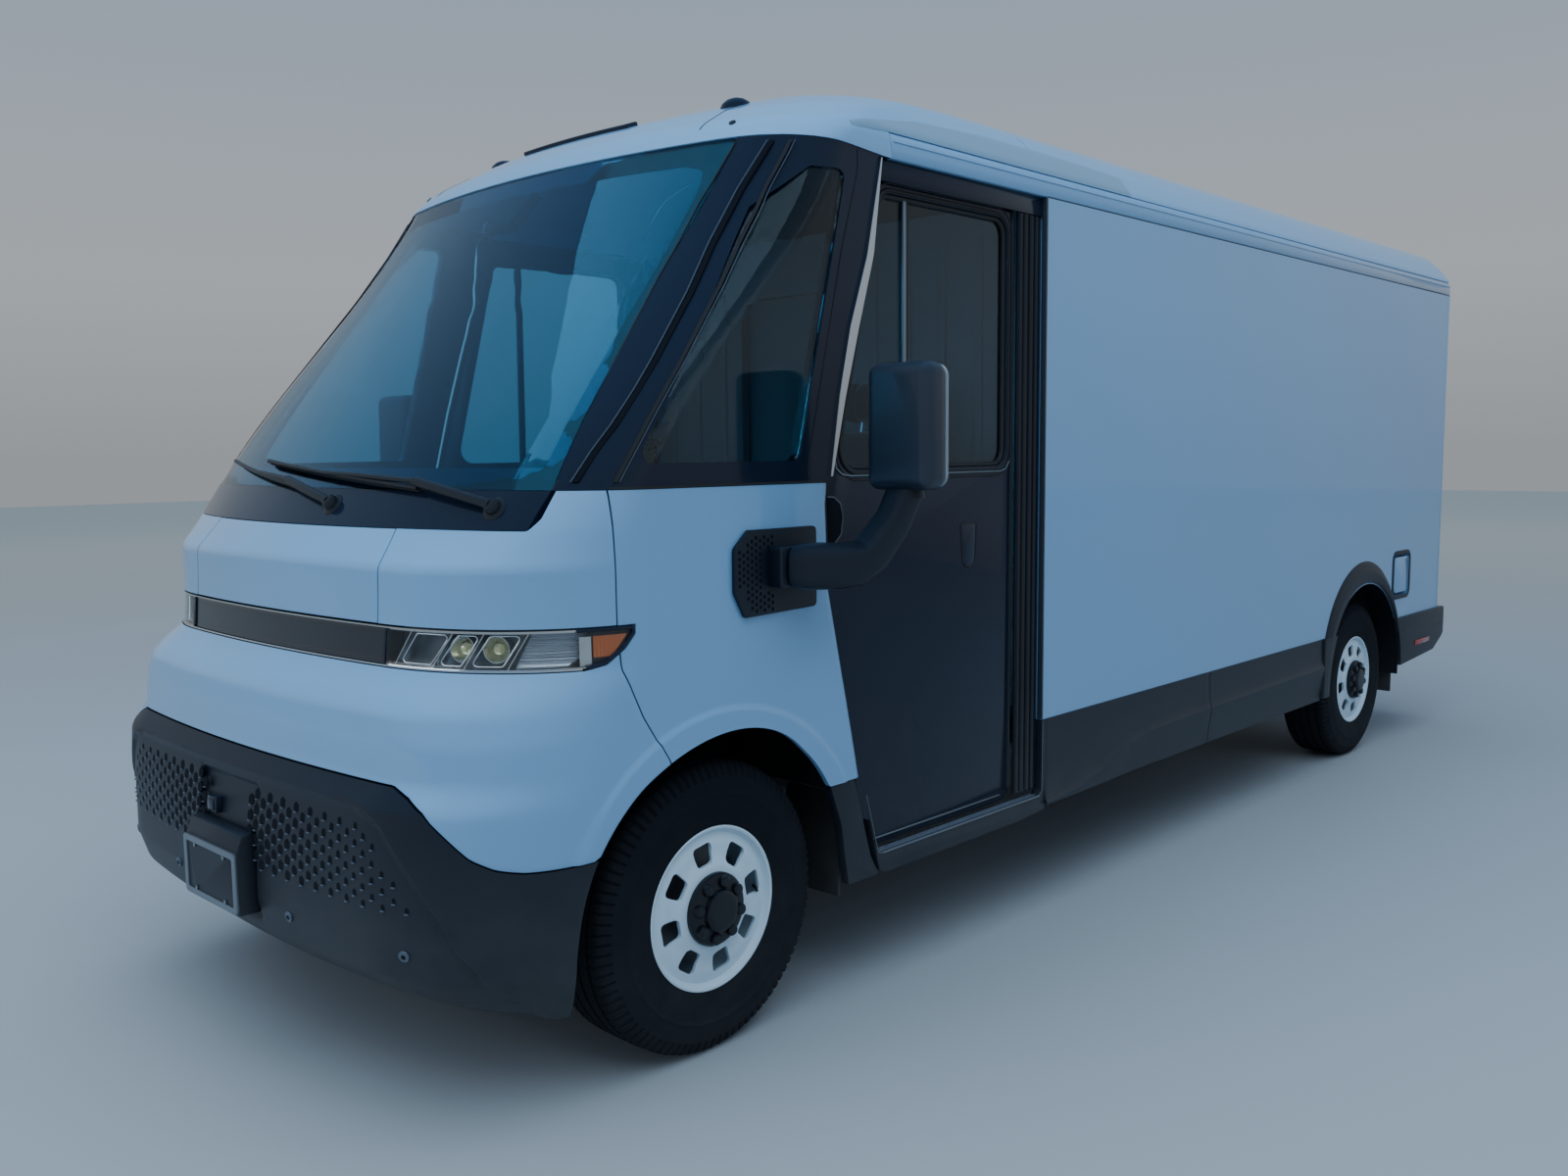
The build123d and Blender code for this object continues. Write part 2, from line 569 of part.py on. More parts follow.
def side_door():
    """Sliding door leaf with its window opening, and the glass."""
    top = WALL_TOP_Z - MOVE_GAP
    foot = STEP_Z + MOVE_GAP
    front = [(DOOR_FRONT[0][0], top)] + DOOR_FRONT[1:-1] + [(DOOR_FRONT[-1][0], foot)]
    x = (DOOR_OUTER_X - DOOR_T, DOOR_OUTER_X)
    leaf = slab_x(front + [(DOOR_REAR, foot), (DOOR_REAR, top)], x)
    leaf += box((HALF_WIDTH - 58, DOOR_OUTER_X), (760, DOOR_REAR), (top - 1, WALL_TOP_Z - SEAT_GAP))
    opening = slab_x(DOOR_WINDOW, (x[0] - 1, x[1] + 1), DOOR_WINDOW_CORNER)
    middle = (x[0] + x[1]) / 2
    glass = slab_x(DOOR_WINDOW, (middle - GLASS_T / 2, middle + GLASS_T / 2), DOOR_WINDOW_CORNER)
    return leaf - opening, glass


# ---------------------------------------------------------------- chassis and drive
def chassis_frame():
    """Two rails joined by cross members, under the floors."""
    z = (RAIL_TOP - RAIL_H, RAIL_TOP)
    rail = box((RAIL_X - RAIL_W / 2, RAIL_X + RAIL_W / 2), (-650, CARGO_REAR - 60), z)
    frame = rail + other_side(rail)
    axle = REAR_AXLE_Y
    for y in (-620, 640, axle - 1040, axle - 410, axle + 390, CARGO_REAR - 150):
        frame += box((-RAIL_X, RAIL_X), (y, y + MEMBER_W), (z[0] + 30, z[1] - 20))
    reach = HALF_WIDTH - 120
    for y in (CARGO_FRONT + 60, CARGO_FRONT + 760, axle - 1560, axle - 760, axle + 640):
        frame += box((-reach, reach), (y, y + BEARER_W), (RAIL_TOP - 10, LOAD_FLOOR_Z - LOAD_FLOOR_T))
    return frame


def battery_pack():
    """Flat traction battery between the axles, as one block."""
    return box((-355, 355), (720, REAR_AXLE_Y - 1060), (330, 590))


def drive_unit():
    """Front motor and gearbox as one block, with its half shafts."""
    unit = box((-260, 260), (-190, 190), (260, 590))
    inside = RAIL_X - RAIL_W / 2
    unit += box((-inside, inside), (-60, 60), (500, 560))
    shaft_end = KINGPIN_X - 90
    return unit + bar_x((-shaft_end, shaft_end), 0, TYRE_RADIUS, 20)


def front_suspension():
    """Lower and upper arm of the left front wheel."""
    inner = RAIL_X + RAIL_W / 2
    holder = box((inner, inner + 30), (-160, 160), (LOWER_ARM_Z, RAIL_TOP - 10))
    holder -= box((inner - 1, inner + 31), (-60, 60), (TYRE_RADIUS - 72, TYRE_RADIUS + 78))
    outer = KINGPIN_X - 130
    for z, thickness in ((LOWER_ARM_Z, LOWER_ARM_T), (UPPER_ARM_Z, UPPER_ARM_T)):
        arm = slab_z([(450, -150), (KINGPIN_X, -28), (KINGPIN_X, 28), (450, 150)],
                     (z, z + thickness))
        arm -= slab_z([(480, -90), (outer, -36), (outer, 36), (480, 90)], (z - 1, z + thickness + 1))
        holder += arm + Pos(KINGPIN_X, 0, z + thickness / 2) * Cylinder(30, thickness)
    return holder


def knuckle():
    """Steering knuckle between the arms, with its arm and the wheel's spindle."""
    low = LOWER_ARM_Z + LOWER_ARM_T + SEAT_GAP
    high = UPPER_ARM_Z - SEAT_GAP
    upright = box((KINGPIN_X - 35, KINGPIN_X + 25), (-55, 55), (low, high))
    arm = slab_z([(KINGPIN_X - 35, 20), (KINGPIN_X - 70, 170), (KINGPIN_X - 40, 178),
                  (KINGPIN_X, 50)], (TYRE_RADIUS - 102, TYRE_RADIUS - 78))
    spindle = bar_x((KINGPIN_X + 20, WHEEL_OUTER_X - 40), 0, TYRE_RADIUS, SPINDLE_RADIUS)
    return upright + arm + spindle


def rear_axle():
    """Beam between the rear wheels, on two leaf springs."""
    half = WHEEL_OUTER_X - 235
    tip = WHEEL_OUTER_X - 40
    beam = bar_x((-half, half), REAR_AXLE_Y, TYRE_RADIUS, BEAM_RADIUS)
    return beam + bar_x((-tip, tip), REAR_AXLE_Y, TYRE_RADIUS, SPINDLE_RADIUS)


def leaf_spring():
    """Left leaf spring with its hangers, over the axle beam."""
    x = (500, 570)
    seat = TYRE_RADIUS + BEAM_RADIUS + SEAT_GAP
    leaf = box(x, (REAR_AXLE_Y - 640, REAR_AXLE_Y + 640), (seat, seat + 20))
    leaf += box(x, (REAR_AXLE_Y - 260, REAR_AXLE_Y + 260), (seat + 20, seat + 36))
    for y in (REAR_AXLE_Y - 640, REAR_AXLE_Y + 600):
        leaf += box((RAIL_X + RAIL_W / 2, x[1]), (y, y + 40), (seat, RAIL_TOP - 20))
    return leaf


# ---------------------------------------------------------------- wheels
def tyre(x, y):
    """Tyre of a left wheel, its outer sidewall at x."""
    half = TYRE_WIDTH / 2
    profile = [(RIM_RADIUS, -half + 22), (RIM_RADIUS + 40, -half + 4), (RIM_RADIUS + 95, -half),
               (TYRE_RADIUS - 42, -half + 8), (TYRE_RADIUS - 8, -half + 24),
               (TYRE_RADIUS, -half + 48), (TYRE_RADIUS, half - 48), (TYRE_RADIUS - 8, half - 24),
               (TYRE_RADIUS - 42, half - 8), (RIM_RADIUS + 95, half), (RIM_RADIUS + 40, half - 4),
               (RIM_RADIUS, half - 22)]
    face = make_face(Polyline(*[(r, 0, a) for r, a in profile], close=True))
    ring = revolve(face, Axis.Z)
    return Pos(x - half, y, TYRE_RADIUS) * Rot(0, 90, 0) * ring


def rim(x, y):
    """Pressed steel wheel with eight rounded windows, and its hub."""
    half = TYRE_WIDTH / 2
    seat = RIM_RADIUS - SEAT_GAP
    profile = [(seat - 12, -half + 10), (seat + 10, -half + 10), (seat + 10, -half + 14),
               (seat, -half + 18), (seat, half - 18), (seat + 10, half - 14),
               (seat + 10, half - 10), (seat - 12, half - 10)]
    barrel = revolve(make_face(Polyline(*[(r, 0, a) for r, a in profile], close=True)), Axis.Z)
    dish = [(0, half - 56), (120, half - 56), (135, half - 30), (195, half - 36),
            (seat - 6, half - 60), (seat - 6, half - 46), (200, half - 22), (132, half - 12),
            (112, half - 8), (112, half + 20), (92, half + 32), (0, half + 32)]
    disc = revolve(make_face(Polyline(*[(r, 0, a) for r, a in dish], close=True)), Axis.Z)
    for k in range(8):
        window = Pos(165, 0, half) * extrude(
            RectangleRounded(40, 62, 14), amount=160, both=True)
        disc -= Rot(0, 0, k * 45 + 22.5) * window
    hub = Pos(0, 0, half - 80) * Cylinder(70, 60)
    wheel = barrel + disc + hub
    bore_depth = half - 40 + 2
    bore = Pos(0, 0, bore_depth - 100) * Cylinder(SPINDLE_RADIUS + SPINDLE_FIT, 200)
    wheel -= bore
    return Pos(x - half, y, TYRE_RADIUS) * Rot(0, 90, 0) * wheel


# ---------------------------------------------------------------- fittings
MIRROR_ARM_R = 42.0


def mirror_arm():
    """Left mirror: perforated base plate, elbow arm and tall housing."""
    base = slab_x([(42, 1240), (80, 1190), (362, 1190), (362, 1425), (80, 1425), (42, 1375)],
                  (HALF_WIDTH + SEAT_GAP, HALF_WIDTH + 14))
    bend = (HALF_WIDTH + 140, 350, 1305)
    elbow = rod((HALF_WIDTH + 30, 290, 1300), bend, MIRROR_ARM_R)
    elbow += box((HALF_WIDTH + 10, HALF_WIDTH + 50), (240, 335), (1255, 1345))
    elbow += Pos(*bend) * Sphere(MIRROR_ARM_R)
    elbow += rod(bend, (HALF_WIDTH + 250, 430, 1540), MIRROR_ARM_R - 8)
    housing = box((HALF_WIDTH + 140, HALF_WIDTH + 360), (395, 500), (1520, 1860))
    return base + elbow + fillet(housing.edges(), 40)


WIPER_LIFT = 24.0              # how far the wipers' middle line stands off the glass


def wiper(pivot_x, blade_near, blade_far):
    """Arm and blade lying on the windscreen's lower edge, from its pivot towards the van's right."""
    def on_glass(x, z, above=0):
        y0, x2, y2, _, _ = station(z)
        rise = (y2 - y0) * (x / x2) ** 2
        slope = 2 * (y2 - y0) * x / x2 ** 2
        return (x, y0 + rise - WIPER_LIFT * (1 + slope * slope / 1.68) ** 0.5 - above, z)

    def bent_rod(points, radius):
        path = Spline(*points)
        return sweep(Plane(origin=points[0], z_dir=path % 0) * Circle(radius), path=path)

    reaches = [blade_near + (blade_far - blade_near) * k / 4 for k in range(5)]
    blade = bent_rod([on_glass(pivot_x - reach, 1537 + 69 * k / 4) for k, reach in enumerate(reaches)], 7)
    middle_x = pivot_x - reaches[2]
    arm = bent_rod([on_glass(pivot_x, 1500), on_glass(pivot_x - 286, 1549, 18), on_glass(middle_x, 1571.5, 22)], 9)
    arm += Pos(*on_glass(pivot_x, 1500)) * Sphere(18.4)
    post = rod(on_glass(middle_x + 5, 1571, -2), on_glass(middle_x + 5, 1571, 20), 6)
    return arm + post + blade


def dashboard():
    """Shelf under the windscreen with the driver's binnacle."""
    back = -400 + SEAT_GAP
    shelf = slab_x([(-560, 1380), (-380, 1470), (-150, 1440), (-110, 1300), (-200, 1180),
                    (back, 1180), (back, 1380)], (160 - HALF_WIDTH, HALF_WIDTH - 160))
    return (shelf & body(1100, COWL_Z + 40, 900, PANEL_T + 12)) - steering_column(31)


def steering_column(radius):
    """Column from the dashboard to the wheel."""
    return rod((480, 190, 1420), (480, -150, 1240), radius)


def steering_wheel():
    """Rim, spokes and column in front of the driver."""
    ring = Torus(190, 14) + Cylinder(45, 30) + Box(370, 30, 16) + Pos(0, -95, 0) * Box(30, 180, 16)
    tilt = Pos(480, 190, 1420) * Rot(-62, 0, 0)
    return tilt * ring + steering_column(30)


def seat(x, y, width):
    """Seat base, cushion, back and headrest, each plain."""
    lean = Rot(-10, 0, 0)
    base = box((x - 150, x + 150), (y - 180, y + 180), (CAB_FLOOR_Z, 960))
    cushion = box((x - width / 2, x + width / 2), (y - 220, y + 305), (960 + SEAT_GAP, 1080))
    back = Pos(x, y + 300, 1405.2) * lean * Box(width, 110, 640)
    head = Pos(x, y + 366, 1802.7) * lean * Box(width - 200, 90, 165)
    return base, cushion, back, head


def charge_flap():
    """Flap over the charging inlet on the left rear side, with two hinge barrels."""
    low, high = FLAP_LOW, FLAP_HIGH
    flap = slab_x([low, (high[0], low[1]), high, (low[0], high[1])],
                  (HALF_WIDTH - FLAP_T, HALF_WIDTH), FLAP_CORNER)
    for z in FLAP_BARRELS:
        top = z + FLAP_BARREL_H
        flap += box((HALF_WIDTH - 4, HALF_WIDTH), (FLAP_AXIS_Y, low[0] + 1), (z, top))
        flap += Pos(HALF_WIDTH, FLAP_AXIS_Y, (z + top) / 2) * Cylinder(4, FLAP_BARREL_H)
        flap -= Pos(HALF_WIDTH, FLAP_AXIS_Y, z) * Cylinder(FLAP_PIN_R + HINGE_FIT, 60)
    return flap


def plate_holes():
    """The plate's four fixing holes, through the plate and the pad behind it."""
    holes = Part()
    for x in (-PLATE_HOLES[0] / 2, PLATE_HOLES[0] / 2):
        for z in (PLATE_Z - PLATE_HOLES[1] / 2, PLATE_Z + PLATE_HOLES[1] / 2):
            holes += rod((x, FRONT_END - 5, z), (x, FRONT_END + 40, z), PLATE_HOLE_R)
    return holes


def number_plate():
    """Blank plate on the bumper."""
    half = PLATE_SIZE[0] / 2
    z = (PLATE_Z - PLATE_SIZE[1] / 2, PLATE_Z + PLATE_SIZE[1] / 2)
    return box((-half, half), (FRONT_END, FRONT_END + PLATE_T), z) - plate_holes()


def charge_inlet():
    """Round charging socket at the back of its recess."""
    middle_y = (FLAP_LOW[0] + FLAP_HIGH[0]) / 2
    middle_z = (FLAP_LOW[1] + FLAP_HIGH[1]) / 2
    x = HALF_WIDTH - INLET_DEPTH + SEAT_GAP
    return bar_x((x, x + 35), middle_y, middle_z, 45) - bar_x((x + 10, x + 40), middle_y, middle_z, 32)


def tail_lamp():
    """Left tail lamp on the rear frame."""
    return box((HINGE_X + 4, HALF_WIDTH - 4), (CARGO_REAR + SEAT_GAP, CARGO_REAR + 30), (1010, 1310))


# ---------------------------------------------------------------- the assembly
def assemble():
    """Every node by name, as a list of solids."""
    nodes = {}
    bumper, fascia, hood, corner, light_bar, lamp = lower_cab()
    nodes["front_bumper"] = [bumper]
    nodes["front_fascia"] = [fascia]
    nodes["hood"] = [hood]
    nodes["corner_panels"] = both_sides(corner)
    nodes["light_bar"] = [light_bar]
    nodes["headlamps"] = both_sides(lamp)
    glass, cowl = windscreen_and_cowl()
    nodes["windscreen"] = [glass]
    nodes["cowl_panel"] = [cowl]
    frame, quarter = cab_frame()
    nodes["cab_frame_left"] = [frame]
    nodes["cab_frame_right"] = [other_side(frame)]
    nodes["quarter_glass"] = both_sides(quarter)
    panel = fender()
    nodes["fender_left"] = [panel]
    nodes["fender_right"] = [other_side(panel)]
    cap, long_roof = roof()
    nodes["roof_cap"] = [cap]
    nodes["roof_panel"] = [long_roof]
    nodes["roof_rails"] = both_sides(cant_rail())
    wall = side_wall()
    nodes["side_wall_left"] = [wall - charge_recess() + flap_brackets()]
    nodes["side_wall_right"] = [other_side(wall)]
    nodes["door_pockets"] = both_sides(pocket_trim())
    nodes["load_floor"] = [load_floor()]
    nodes["cab_floor"] = [cab_floor()]
    nodes["wheel_houses"] = both_sides(wheel_house())
    nodes["bulkhead"] = [bulkhead()]
    nodes["bulkhead_door"] = [bulkhead_door()]
    nodes["rear_frame"] = [rear_frame()]
    door = rear_door()
    hinges = rear_hinges()
    nodes["rear_hinges"] = hinges + [other_side(hinge) for hinge in hinges]
    nodes["rear_door_left"] = [door]
    nodes["rear_door_right"] = [other_side(door)]
    nodes["rear_bumper"] = [rear_bumper()]
    front, back = rocker()
    nodes["rockers"] = both_sides(front) + both_sides(back)
    nodes["arch_flares"] = both_sides(arch_flare())
    leaf, leaf_glass = side_door()
    nodes["side_door_left"] = [leaf]
    nodes["side_door_right"] = [other_side(leaf)]
    nodes["door_glass_left"] = [leaf_glass]
    nodes["door_glass_right"] = [other_side(leaf_glass)]
    nodes["chassis_frame"] = [chassis_frame()]
    nodes["battery_pack"] = [battery_pack()]
    nodes["drive_unit"] = [drive_unit()]
    nodes["front_suspension"] = both_sides(front_suspension())
    nodes["rear_axle"] = [rear_axle()]
    nodes["leaf_springs"] = both_sides(leaf_spring())
    upright = knuckle()
    nodes["knuckle_left"] = [upright]
    nodes["knuckle_right"] = [other_side(upright)]
    for end, y in (("front", 0.0), ("rear", REAR_AXLE_Y)):
        rubber = tyre(WHEEL_OUTER_X, y)
        steel = rim(WHEEL_OUTER_X, y)
        nodes[f"tyre_{end}_left"] = [rubber]
        nodes[f"tyre_{end}_right"] = [other_side(rubber)]
        nodes[f"rim_{end}_left"] = [steel]
        nodes[f"rim_{end}_right"] = [other_side(steel)]
    nodes["mirrors"] = both_sides(mirror_arm())
    nodes["wipers"] = [wiper(792, 270, 1150), wiper(185, 220, 900)]
    nodes["dashboard"] = [dashboard()]
    nodes["steering_wheel"] = [steering_wheel()]
    nodes["driver_seat"] = list(seat(480, 950, 500))
    nodes["charge_flap"] = [charge_flap()]
    nodes["charge_inlet"] = [charge_inlet()]
    nodes["number_plate"] = [number_plate()]
    nodes["tail_lamps"] = both_sides(tail_lamp())
    return nodes


def main():
    """Write one STEP file for each node."""
    os.makedirs("parts", exist_ok=True)
    to_origin = Pos(0, -MIDDLE_Y, 0)
    for name, shapes in assemble().items():
        solids = []
        for shape in shapes:
            solids.extend((to_origin * shape).solids())
        whole = solids[0] if len(solids) == 1 else Compound(children=solids)
        export_step(whole, f"parts/{name}.step")


main()
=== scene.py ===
"""Looks of a walk-in electric delivery van: panels, glass, lamps, wheels and cab, round its CAD frame."""
from functools import lru_cache
from math import atan2, copysign, cos, exp, floor, hypot, pi, radians, sin, sqrt, tan

import bpy
from mathutils import Matrix, Vector


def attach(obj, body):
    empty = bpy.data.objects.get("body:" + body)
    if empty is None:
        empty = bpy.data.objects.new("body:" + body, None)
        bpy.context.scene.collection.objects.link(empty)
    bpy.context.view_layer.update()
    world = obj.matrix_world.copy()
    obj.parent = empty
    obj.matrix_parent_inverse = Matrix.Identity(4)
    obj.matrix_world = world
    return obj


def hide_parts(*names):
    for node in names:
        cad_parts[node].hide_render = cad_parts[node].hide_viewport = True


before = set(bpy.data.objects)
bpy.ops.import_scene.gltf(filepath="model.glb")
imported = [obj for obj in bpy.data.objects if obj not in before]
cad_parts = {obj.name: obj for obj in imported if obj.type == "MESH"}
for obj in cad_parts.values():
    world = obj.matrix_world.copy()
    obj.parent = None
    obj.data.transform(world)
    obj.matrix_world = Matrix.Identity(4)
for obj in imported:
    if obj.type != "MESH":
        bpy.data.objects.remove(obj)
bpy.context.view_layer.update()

# ---------------- floor, light and camera
# The van stands on a plain pale floor under one wide soft light from above and two from the
# sides, as in a paint booth, and is seen from ahead of its left front corner at eye height.
bpy.ops.mesh.primitive_grid_add(x_subdivisions=8, y_subdivisions=8, size=90, location=(0, 0, 0))
ground = bpy.context.object
ground.name = "floor"


def linked(name, data):
    """A new object in the scene."""
    made = bpy.data.objects.new(name, data)
    bpy.context.scene.collection.objects.link(made)
    data.name = name
    return made


def soft_light(name, place, aim, width, height, power, colour):
    """An area light at place, pointed at aim."""
    lamp = bpy.data.lights.new(name, "AREA")
    lamp.shape = "RECTANGLE"
    lamp.size = width
    lamp.size_y = height
    lamp.energy = power
    lamp.color = colour
    holder = linked(name, lamp)
    holder.location = place
    holder.visible_glossy = False
    holder.rotation_euler = (Vector(aim) - Vector(place)).to_track_quat("-Z", "Y").to_euler()


soft_light("light_above", (1.0, -2.0, 9.0), (0, 0, 0), 14, 16, 1750, (0.8, 0.92, 1.0))
soft_light("light_ahead", (-5.0, -13.0, 5.0), (0, -2, 1.2), 9, 5, 380, (0.86, 0.95, 1.0))
soft_light("light_left", (13.0, 1.0, 5.0), (0, 0, 1.2), 9, 5, 120, (0.8, 0.92, 1.0))

world = bpy.data.worlds.new("plain_room")
world.use_nodes = True
room = world.node_tree
height = room.nodes.new("ShaderNodeSeparateXYZ")
room.links.new(room.nodes.new("ShaderNodeTexCoord").outputs["Generated"], height.inputs["Vector"])
sky = room.nodes.new("ShaderNodeValToRGB")
sky.color_ramp.elements[0].color = (0.62, 0.66, 0.7, 1)
sky.color_ramp.elements[1].color = (0.22, 0.46, 0.9, 1)
sky.color_ramp.elements.new(0.12).color = (0.8, 0.86, 0.92, 1)
sky.color_ramp.elements.new(0.45).color = (0.52, 0.72, 0.98, 1)
room.links.new(height.outputs["Z"], sky.inputs["Fac"])
room.links.new(sky.outputs["Color"], room.nodes["Background"].inputs["Color"])
room.nodes["Background"].inputs["Strength"].default_value = 0.52
bpy.context.scene.world = world

camera_data = bpy.data.cameras.new("camera")
camera_data.sensor_width = 36.0
camera_data.lens = 30.04
camera = linked("camera", camera_data)
turn = radians(43.384)
down = radians(6.008)
roll = radians(-0.57)
camera_back = Vector((sin(turn) * cos(down), -cos(turn) * cos(down), sin(down)))
level_right = Vector((cos(turn), sin(turn), 0))
level_up = camera_back.cross(level_right)
camera_right = cos(roll) * level_right + sin(roll) * level_up
camera_up = camera_back.cross(camera_right)
camera.matrix_world = Matrix.Translation((3.488, -4.86, 1.634)) @ Matrix((camera_right, camera_up,
    camera_back)).transposed().to_4x4()
bpy.context.scene.camera = camera

# ---------------- skin panels round the nose
# The nose is a run of painted composite panels hung on the cab frame, with a few millimetres
# of gap between them.  All of them lie on one outer surface: level curves with a shallow arc
# across the front, round corners, and straight sides.  Lengths here are metres from the axle.
AXLE_Y = -2.5
REAR_AXLE = 2.16
LEVELS = [
    (0.262, -0.735, 0.6, -0.69, 1.0, -0.45),
    (0.3, -0.8, 0.62, -0.76, 1.012, -0.455),
    (0.38, -0.88, 0.65, -0.845, 1.026, -0.46),
    (0.47, -0.902, 0.65, -0.872, 1.034, -0.465),
    (0.65, -0.898, 0.65, -0.87, 1.038, -0.45),
    (0.8, -0.878, 0.65, -0.857, 1.04, -0.44),
    (0.856, -0.838, 0.69, -0.802, 1.04, -0.42),
    (0.95, -0.836, 0.68, -0.798, 1.04, -0.39),
    (1.02, -0.826, 0.65, -0.792, 1.04, -0.34),
    (1.06, -0.8, 0.61, -0.768, 1.04, -0.31),
    (1.113, -0.738, 0.545, -0.714, 1.04, -0.26),
    (1.212, -0.73, 0.56, -0.704, 1.04, -0.255),
    (1.358, -0.737, 0.66, -0.68, 1.04, -0.27),
    (1.449, -0.675, 0.8, -0.561, 1.04, -0.27),
    (1.542, -0.6, 0.8, -0.498, 1.04, -0.25),
    (1.7, -0.47, 0.796, -0.379, 1.04, -0.163),
    (1.86, -0.338, 0.789, -0.249, 1.04, -0.028),
    (2.02, -0.206, 0.78, -0.115, 1.04, 0.13),
    (2.18, -0.076, 0.771, 0.018, 1.04, 0.287),
    (2.34, 0.051, 0.764, 0.142, 1.039, 0.419),
    (2.497, 0.17, 0.76, 0.252, 1.038, 0.5),
    (2.56, 0.223, 0.743, 0.303, 1.03, 0.595),
    (2.63, 0.335, 0.7, 0.428, 0.976, 0.718),
    (2.69, 0.5, 0.655, 0.58, 0.915, 0.93),
    (2.73, 0.685, 0.572, 0.755, 0.845, 1.4),
    (2.76, 1.025, 0.425, 1.075, 0.715, 1.53),
]
CORNER = 0.6                    # how full the front corners are
ROUNDING = (-0.012, -0.006, 0.0, 0.006, 0.012)


def line(points, at):
    """Value at a position on a line through (position, value) points, flat beyond its ends."""
    if at <= points[0][0]:
        return points[0][1]
    for (a, low), (b, high) in zip(points, points[1:]):
        if at <= b:
            return low + (at - a) / (b - a) * (high - low)
    return points[-1][1]


@lru_cache(maxsize=None)
def level_row(step):
    """The level curve's five sizes at a height of step millimetres, its creases rounded."""
    z = step / 1000
    return [sum(line([(row[0], row[k]) for row in LEVELS], z + side) for side in ROUNDING) / len(ROUNDING)
        for k in range(1, 6)]


def level(z):
    """The level curve's five sizes at any height."""
    step = floor(z * 1000)
    share = z * 1000 - step
    return [low + share * (high - low) for low, high in zip(level_row(step), level_row(step + 1))]


def skin(u, z):
    """Point of the outer surface: u is 0 ahead, 1 where the front arc ends, 2 where the side starts."""
    y0, x2, y2, half, side = level(z)
    way = abs(u)
    bow = y2 - y0
    radius = (x2 * x2 + bow * bow) / (2 * bow)
    if way <= 1:
        x = way * x2
        y = y0 + radius - sqrt(radius * radius - x * x)
    elif way <= 2:
        t = way - 1
        meet = y2 + x2 / (radius - bow) * (half - x2)
        first, second, third, last = (1 - t) ** 3, 3 * t * (1 - t) ** 2, 3 * t * t * (1 - t), t ** 3
        x = first * x2 + second * (x2 + CORNER * (half - x2)) + (third + last) * half
        y = (first * y2 + second * (y2 + CORNER * (meet - y2)) + third * (side + CORNER * (meet - side))
            + last * side)
    else:
        x, y = half, side + way - 2
    return Vector((copysign(x, u) if u else 0.0, AXLE_Y + y, z))


def by_height(edge):
    """The same u(z) edge, worked out every 5 mm of height and straight in between."""
    @lru_cache(maxsize=None)
    def rung(step):
        return edge(step * 0.005)

    def quick_edge(z):
        step = floor(z / 0.005)
        share = z / 0.005 - step
        return rung(step) + share * (rung(step + 1) - rung(step))
    return quick_edge


def u_at(axis, value, z):
    """The u whose point has this x (axis 0) or this y from the front axle (axis 1)."""
    low, high = 0.0, 5.0
    for _ in range(26):
        middle = (low + high) / 2
        point = skin(middle, z)
        reached = point.x if axis == 0 else point.y - AXLE_Y
        if reached < value:
            low = middle
        else:
            high = middle
    return (low + high) / 2


def pick(*objects):
    """Only these objects are selected, the first one active."""
    for other in list(bpy.context.selected_objects):
        other.select_set(False)
    for one in objects:
        one.select_set(True)
    bpy.context.view_layer.objects.active = objects[0] if objects else None


def change(piece, kind, **settings):
    """Adds a modifier and applies it."""
    modifier = piece.modifiers.new(kind.lower(), kind)
    for key, value in settings.items():
        setattr(modifier, key, value)
    pick(piece)
    bpy.ops.object.modifier_apply(modifier=modifier.name)


def soften(piece, width, segments=2, angle=35, shading=32):
    """A small round along every edge sharper than angle."""
    change(piece, "BEVEL", width=width, segments=segments, limit_method="ANGLE", angle_limit=radians(angle))
    smooth(piece, shading)


def smooth(piece, angle=32):
    """Smooth shading but for sharp edges."""
    pick(piece)
    bpy.ops.object.shade_smooth_by_angle(angle=radians(angle))


def finish(piece, coat, *nodes, body="body"):
    """Gives a piece its material and body, and the CAD nodes it stands for."""
    piece.data.materials.clear()
    piece.data.materials.append(coat)
    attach(piece, body)
    if nodes:
        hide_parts(*nodes)
    return piece


def pair(piece, coat, *nodes, body="body"):
    """The same for a left piece and its copy on the right; a body's name may hold a left."""
    twin = other_side(piece, piece.name.replace("left", "right"))
    finish(piece, coat, *nodes, body=body)
    nodes = [node.replace("left", "right") for node in nodes if "left" in node]
    return finish(twin, coat, *nodes, body=body.replace("left", "right"))


def at(x, y, z):
    """A point with y measured from the front axle."""
    return Vector((x, AXLE_Y + y, z))


def named(name):
    """The object just made, under its name."""
    made = bpy.context.object
    made.name = made.data.name = name
    return made


def grid(name, across, up, place):
    """A sheet of across by up quads, each corner moved to place(a, b) with a and b from 0 to 1."""
    pick()
    bpy.ops.mesh.primitive_grid_add(x_subdivisions=across, y_subdivisions=up, size=1)
    sheet = named(name)
    for vertex in sheet.data.vertices:
        vertex.co = place(vertex.co.x + 0.5, vertex.co.y + 0.5)
    return sheet


def y_edge(places, way=1):
    """A u(z) edge at one y from the front axle, or through a list of (z, y) points."""
    return lambda z: way * u_at(1, line(places, z) if isinstance(places, list) else places, z)


def x_edge(places, way=1):
    """The same at one x, or through (z, x) points."""
    return lambda z: way * u_at(0, line(places, z) if isinstance(places, list) else places, z)


def outward(u, z):
    """Direction out of the van's skin."""
    ahead = skin(u, z + 0.004) - skin(u, z - 0.004)
    along = skin(u + 0.004, z) - skin(u - 0.004, z)
    return along.cross(ahead).normalized()


def steady(value):
    """A number as a function that always gives it; a function stays as it is."""
    return value if callable(value) else lambda *spot: value


